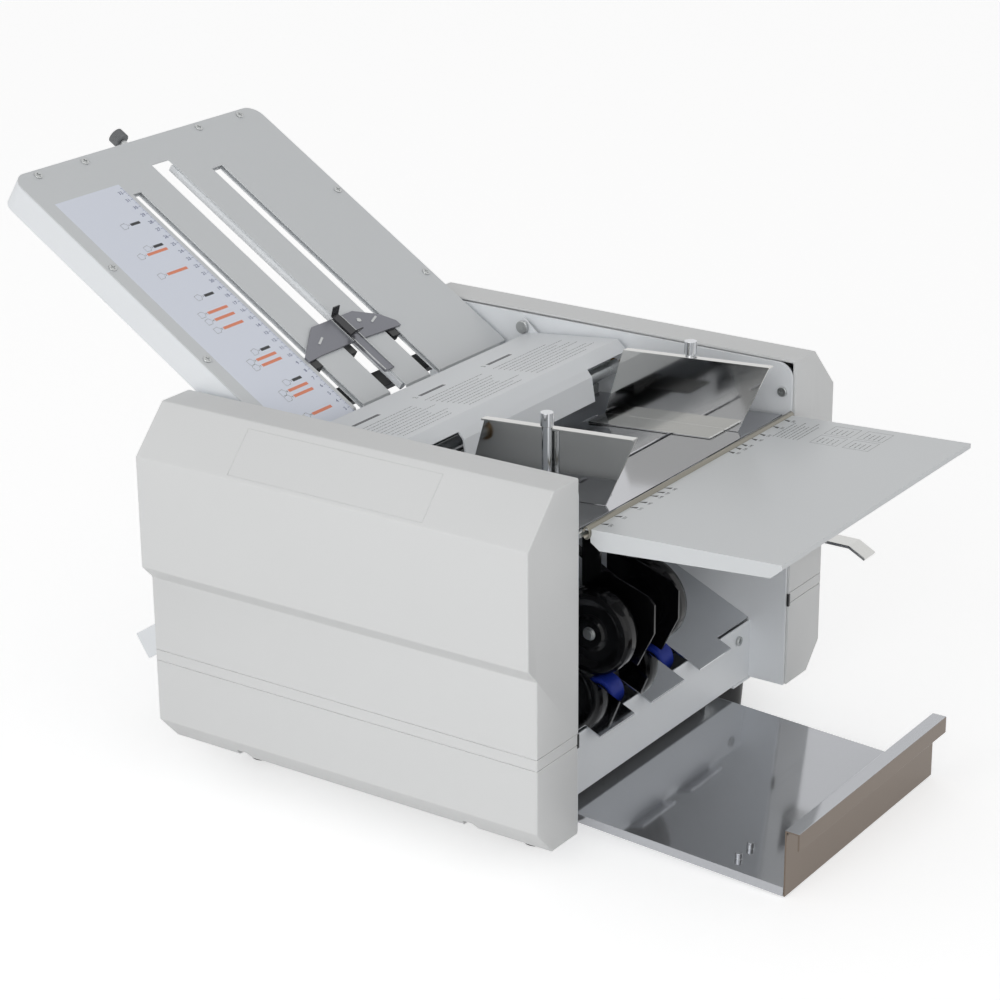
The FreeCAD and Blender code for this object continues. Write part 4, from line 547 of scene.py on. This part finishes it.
def stop_details():
    """The carriage's long ribs, clear of the clip, in a lighter finish that is partly painted edge
    highlight; a slanted pale bar on each wing, a painted highlight where a bright slot shows; and a rivet.
    """
    ribs_and_glints, seat = bmesh.new(), STOP_TOP - 0.2
    for x, near, far in STOP_RIBS:
        oblong(ribs_and_glints, x - RIB_HALF, x + RIB_HALF, -near, -far, seat, STOP_TOP + RIB_RISE, PLATE)
    for start, end in STOP_GLINT_BARS:
        band(ribs_and_glints, start, end, GLINT_BAR_WIDE, seat, STOP_TOP + GLINT_BAR_RISE, PLATE)
    # lighter zinc finish: painted edge highlights on the ribs, painted highlights for the wing bars
    piece("stop_ribs_and_glints", applied(to_mesh("ribs_and_glints", ribs_and_glints), rounding(0.25), EVEN), "zinc_steel", "stop")
    rivet = to_mesh("rivet", turned(RIVET_SECTION, Vector(), (0, 0, 1), 24))
    rivet.transform(PLATE @ Matrix.Translation(Vector((*STOP_RIVET, STOP_TOP - 0.05)) * MM))
    piece("stop_rivet", rivet, "zinc_steel", "stop")


DIAL_REACH, DIAL_HALF, DIAL_RIBS, RIB_STEPS, RIB_DEEP = 7.6, 4.8, 30, 4, 0.5


def dial():
    """The ribbed dial on the adjusting screw."""
    axis = PLATE.to_3x3() @ Vector((0, 1, 0))
    outline = []
    for i in range(DIAL_RIBS * RIB_STEPS):
        angle = math.tau * i / (DIAL_RIBS * RIB_STEPS)
        reach = DIAL_REACH - (RIB_DEEP if i % RIB_STEPS in (2, 3) else 0)
        outline.append((reach * math.cos(angle), reach * math.sin(angle)))
    turn = axis.to_track_quat("Z", "Y").to_matrix().to_4x4()
    shape = bmesh.new()
    prism(shape, outline, -DIAL_HALF, DIAL_HALF, Matrix.Translation(node_centre("adjusting_knob")) @ turn)
    piece("adjusting_dial", applied(to_mesh("dial", shape), rounding(0.25, 1), EVEN), "dial_grey",
          frame["nodes"]["adjusting_knob"]["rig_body"], ["adjusting_knob"])


def upper_plate():
    dress("upper_plate_frame", "frame_paint", 0.35)
    dress("upper_top_sheet", "satin_steel", 0.25)
    dress("plate_rest", "black_plastic", 0.5)
    dress("lower_fold_plate", "frame_paint", 0.35)
    dress("stop_carriage", "carriage_steel", 0.3)
    dress("stop_fingers", "black_plastic", 0.6)
    dress("stop_clip", "clip_steel", 0.3)
    stop_details()
    dial()
    scale_label()
    fold_bars()


# ---- feed table, lift plate and guides -------------------------------------------------------
SIZE_MARKS = ((52.5, "105"), (64, "128"), (74, "148"), (91, "182"), (105, "210"), (128.5, "257"),
              (148.5, "297"))


def table_marks():
    """Sheet width marks each side of the middle, and a block of plain instruction lines."""
    marks, numbers = bmesh.new(), bmesh.new()
    low, high = TABLE_TOP + MARK_LOW, TABLE_TOP + MARK_TOP
    for half, width in SIZE_MARKS:
        for sign in (-1, 1):
            x = sign * half
            wedge = [(x, -5), (x - sign * 0.4, -13), (x - sign * 4, -13)]
            prism(marks, wedge[::sign], low, high, TABLE)
            letter(numbers, width, x - sign * 1.2, -16.5, 2.8, TABLE, low=low, high=high)
    piece("size_marks", to_mesh("size_marks", marks, False), "ink_black", "table")
    piece("size_numbers", to_mesh("size_numbers", numbers, False), "ink_black", "table")
    lines = bmesh.new()
    text_rows(lines, TABLE, TABLE_TOP, 104, 152, -45, -18, 7, 11)
    for near, far in ((-80, -55), (-110, -86)):
        for left, right in ((104, 126), (130, 152)):
            outline_ring(lines, [(left, near), (right, near), (right, far), (left, far)], 0.4, low,
                         TABLE_TOP + LINE_TOP, TABLE)
            text_rows(lines, TABLE, TABLE_TOP, left + 3, right - 3, near + 3, far - 3, 4, 5)
    piece("table_lines", to_mesh("table_lines", lines, False), "ink_grey", "table")


def text_rows(shape, place, top, left, right, near, far, rows, seed):
    """Rows of short plain dashes, as close lines of print look from a distance."""
    draw = random.Random(seed)
    for row in range(rows):
        y = far - (far - near) * (row + 0.5) / rows
        x = left
        end = right - draw.uniform(0, 0.3) * (right - left)
        while x < end:
            long = draw.uniform(1.2, 4.5)
            oblong(shape, x, min(x + long, end), y - DASH_HALF, y + DASH_HALF, top + MARK_LOW,
                   top + LINE_TOP, place)
            x += long + DASH_GAP


STRIP_HALF, STRIP_OUTER, STRIP_INNER, STRIP_STRETCH = 165, 3.4, 2.6, 1.65


def hinge_strip():
    """The low rounded strip along the table's rear edge."""
    section = [(-STRIP_HALF, STRIP_INNER), (-STRIP_HALF, STRIP_OUTER), (STRIP_HALF, STRIP_OUTER),
               (STRIP_HALF, STRIP_INNER), (-STRIP_HALF, STRIP_INNER)]
    mesh = to_mesh("hinge_strip", turned(eased(section, 0.4, 3), Vector(), (1, 0, 0)))
    mesh.transform(Matrix.Translation(spot(0, -1, 287.2)) @ Matrix.Diagonal((1, 1, STRIP_STRETCH, 1)))
    piece("hinge_strip", mesh, "hinge_steel", "table")


def feeding():
    dress("feed_table", "satin_steel", 0.35)
    dress("lift_plate", "lift_steel", 0.25)
    hinge_strip()
    dress("friction_pad", "black_rubber", 0.25)
    dress("retard_pad", "black_plastic", 0.4)
    for side in ("left", "right"):
        dress(side + "_guide", "guide_steel", 0.3)
        dress(side + "_guide_knob", "bright_steel", 0.35)
    dress("pivot_screws", "zinc_steel", 0.5)
    table_marks()


def hood():
    """The hood and its three blocks of plain lines, each under a number and a bar."""
    dress("hood", "hood_plastic", 0.6, 3)
    lines = bmesh.new()
    for i, (left, right) in enumerate(((-150, -62), (-56, 40), (46, 150))):
        text_rows(lines, HOOD, HOOD_SKIN, left, right, 6, 58, 9, 40 + i)
        letter(lines, str(i + 1), left + 4, 68, 5, HOOD, low=HOOD_SKIN, high=HOOD_PRINT)
        oblong(lines, left + 10, left + 46, 66, 70, HOOD_SKIN, HOOD_PRINT, HOOD)
    piece("hood_lines", to_mesh("hood_lines", lines, False), "ink_grey", "hood_lid")


# ---- rollers, wheels and tray ----------------------------------------------------------------
WHEEL_SECTION = [(0, 6), (-10, 6), (-10, 12.5), (-8, 14.5), (-7, 17), (-7, 25), (-8.4, 28), (-10, 31.5),
                 (-9.2, 35.8), (-6.6, 38.2), (-3, 38.9), (3, 38.9), (6.6, 38.2), (9.2, 35.8), (10, 31.5),
                 (8.4, 28), (7, 25), (7, 17), (8, 14.5), (10, 12.5), (10, 6), (0, 6)]
WHEELS_AT = (-34.5, 46.8)
TYRE_SECTION = wheel_outline(10, 15.4, 10, 3)


def delivery():
    centre, low = node_centre("delivery_wheels"), node_centre("blue_tyres")
    wheels, tyres = bmesh.new(), bmesh.new()
    for mid in WHEELS_AT:
        ring = turned(eased(WHEEL_SECTION, 1.2, 3), Vector((mid * MM, centre.y, centre.z)), (1, 0, 0))
        joined(wheels, to_mesh("ring", ring), Matrix())
        ring = turned(TYRE_SECTION, Vector((mid * MM, low.y, low.z)), (1, 0, 0))
        joined(tyres, to_mesh("ring", ring), Matrix())
    piece("delivery_wheels_turned", to_mesh("delivery_wheels", wheels), "gloss_black", "delivery",
          ["delivery_wheels"])
    piece("blue_tyres_turned", to_mesh("blue_tyres", tyres), "blue_rubber", "idler", ["blue_tyres"])
    dress("delivery_shaft", "zinc_steel", 0.5)
    dress("delivery_bracket", "gloss_black", 0.5)
    dress("idler_shaft", "black_plastic", 0.4)
    dress("exit_chute", "bright_steel", 0.3)
    dress("front_panel", "frame_paint", 0.4)
    dress("base_pan", "zinc_steel", 0.3)
    dress("delivery_tray", "tray_steel", 0.3)
    # the stop's brown finish is a painted reflection; its top gets painted light below
    stop = dress("tray_stop", "stop_steel", 0.4).data
    stop.materials.append(FINISHES["tray_steel"])
    for face in stop.polygons:                  # its upward faces get the bright tray finish: painted light on its top
        face.material_index = int(face.normal.z > LIT_TOP_RISE)
    dress("tray_glides", "black_plastic", 0.4)
    dress("rubber_feet", "black_rubber", 1.0, 3)


CROSS_SLIM, CROSS_LONG = 0.6, 2.4


def cross_recesses():
    """Crosses cut in the heads of the screws that show: on the fold plate, frames and panel."""
    crosses = bmesh.new()
    slim, long = CROSS_SLIM, CROSS_LONG
    cross = [(-slim, -long), (slim, -long), (slim, -slim), (long, -slim), (long, slim), (slim, slim),
             (slim, long), (-slim, long), (-slim, slim), (-long, slim), (-long, -slim), (-slim, -slim)]
    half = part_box("upper_top_sheet")[1].x / MM - 7.6
    for sign in (-1, 1):
        for x, down in ((138, 7), (78, 7), (half, 125), (half, 245)):
            place = PLATE @ Matrix.Translation(Vector((sign * x, -down, 0)) * MM)
            prism(crosses, cross, 0.5, 2, place)
        wall = Matrix.Translation(spot(sign * 168, 11, 307)) @ Matrix.Rotation(
            math.radians(-90 * sign), 4, "Y")
        prism(crosses, cross, -0.7, 1.5, wall)
        front = Matrix.Translation(spot(sign * 149.5, 35, 71)) @ Matrix.Rotation(
            math.radians(90), 4, "X")
        prism(crosses, cross, -0.8, 1.5, front)
    return to_mesh("crosses", crosses, False)


def controls():
    dress("lift_lever", "lever_steel", 0.5)
    dress("control_panel", "black_plastic", 0.6)
    dress("start_key", "green_plastic", 0.8, 3)
    dress("mains_inlet", "black_plastic", 0.4)
    dress("power_switch", "black_plastic", 0.5)
    dress("machine_screws", "zinc_steel", 0.8, 3, [cross_recesses()])


def keep_plain_nodes():
    """Nodes whose shape is right keep it, and get the finish of their slot."""
    slot_of = {s["node"]: s["material_slot"] for s in frame["record"]["subparts"]}
    for name, node in frame["nodes"].items():
        if node.hide_render:
            continue
        node.data.materials.clear()
        node.data.materials.append(FINISHES[slot_of[name]])


# ---- camera, lights and floor ----------------------------------------------------------------
VIEW_ANGLES = (-55.437, 20.842, -0.441)      # azimuth, elevation and roll
EYE, LENS, SENSOR = (-1.87007, -1.309173, 1.08628), 100.5, 36


def camera():
    azimuth, elevation, roll = (math.radians(angle) for angle in VIEW_ANGLES)
    back = Vector((math.sin(azimuth) * math.cos(elevation), -math.cos(azimuth) * math.cos(elevation),
                   math.sin(elevation)))
    right = Vector((0, 0, 1)).cross(back).normalized()
    rise = back.cross(right)
    across = right * math.cos(roll) + rise * math.sin(roll)
    upright = rise * math.cos(roll) - right * math.sin(roll)
    lens = bpy.data.cameras.new("camera")
    lens.lens, lens.sensor_width = LENS, SENSOR
    lens.clip_start, lens.clip_end = 0.05, 50
    eye = bpy.data.objects.new("camera", lens)
    eye.matrix_world = Matrix.Translation(EYE) @ Matrix((across, upright, back)).transposed().to_4x4()
    bpy.context.scene.collection.objects.link(eye)
    bpy.context.scene.camera = eye


def lamp(name, place, aim, wide, power):
    """A soft square lamp at a place, pointed at another."""
    light = bpy.data.lights.new(name, "AREA")
    light.size, light.energy = wide, power
    made = bpy.data.objects.new(name, light)
    made.location = place
    made.rotation_mode = "QUATERNION"
    made.rotation_quaternion = (Vector(aim) - Vector(place)).to_track_quat("-Z", "Y")
    bpy.context.scene.collection.objects.link(made)


def shown_rays(tree):
    """One where a ray comes from the camera, a mirror or a clear body; nought elsewhere."""
    path = put(tree, "ShaderNodeLightPath").outputs
    seen = put(tree, "ShaderNodeMath", {0: path["Is Camera Ray"], 1: path["Is Glossy Ray"]},
               operation="MAXIMUM").outputs[0]
    return put(tree, "ShaderNodeMath", {0: seen, 1: path["Is Transmission Ray"]},
               operation="MAXIMUM").outputs[0]


ROOM_LOW, ROOM_HIGH = 0.76, 0.38             # the room's light at the horizon and overhead
FLOOR_GLOW, FLOOR_REACH, FLOOR_DEEP = 0.55, 15000, 20


def studio():
    world = bpy.data.worlds.new("studio")
    bpy.context.scene.world = world
    world.use_nodes = True
    tree = world.node_tree
    tree.nodes.clear()
    rise = put(tree, "ShaderNodeSeparateXYZ", {
        "Vector": put(tree, "ShaderNodeTexCoord").outputs["Generated"]}).outputs["Z"]
    room = put(tree, "ShaderNodeMapRange", {"Value": rise, "To Min": ROOM_LOW,
                                            "To Max": ROOM_HIGH}).outputs[0]
    level = put(tree, "ShaderNodeMapRange", {"Value": shown_rays(tree), "To Min": room,
                                             "To Max": 1.0}).outputs[0]
    back = put(tree, "ShaderNodeBackground", {"Color": (1, 1, 1, 1), "Strength": level})
    put(tree, "ShaderNodeOutputWorld", {"Surface": back.outputs[0]})
    lamp("left_softbox", (-2.6, -0.5, 1.1), (0, 0, 0.25), 2.2, 27)
    lamp("front_fill", (-0.9, -2.6, 0.9), (0, 0, 0.2), 1.6, 3.4)
    floor = bmesh.new()
    oblong(floor, -FLOOR_REACH, FLOOR_REACH, -FLOOR_REACH, FLOOR_REACH, -FLOOR_DEEP, 0)
    mesh = to_mesh("floor", floor, False)
    ground = bpy.data.objects.new("floor", mesh)
    bpy.context.scene.collection.objects.link(ground)
    look = bpy.data.materials.new("floor_paper")
    look.use_nodes = True
    tree = look.node_tree
    tree.nodes.clear()
    glow = put(tree, "ShaderNodeMath", {0: shown_rays(tree), 1: FLOOR_GLOW}, operation="MULTIPLY")
    surface = put(tree, "ShaderNodeBsdfPrincipled", {
        "Base Color": linear(222, 222, 222), "Roughness": 0.9, "Emission Color": (1, 1, 1, 1),
        "Emission Strength": glow.outputs[0]})
    put(tree, "ShaderNodeOutputMaterial", {"Surface": surface.outputs[0]})
    mesh.materials.append(look)
    bpy.context.scene.view_settings.view_transform = "Standard"


camera()
covers()
upper_plate()
feeding()
hood()
delivery()
controls()
keep_plain_nodes()
studio()
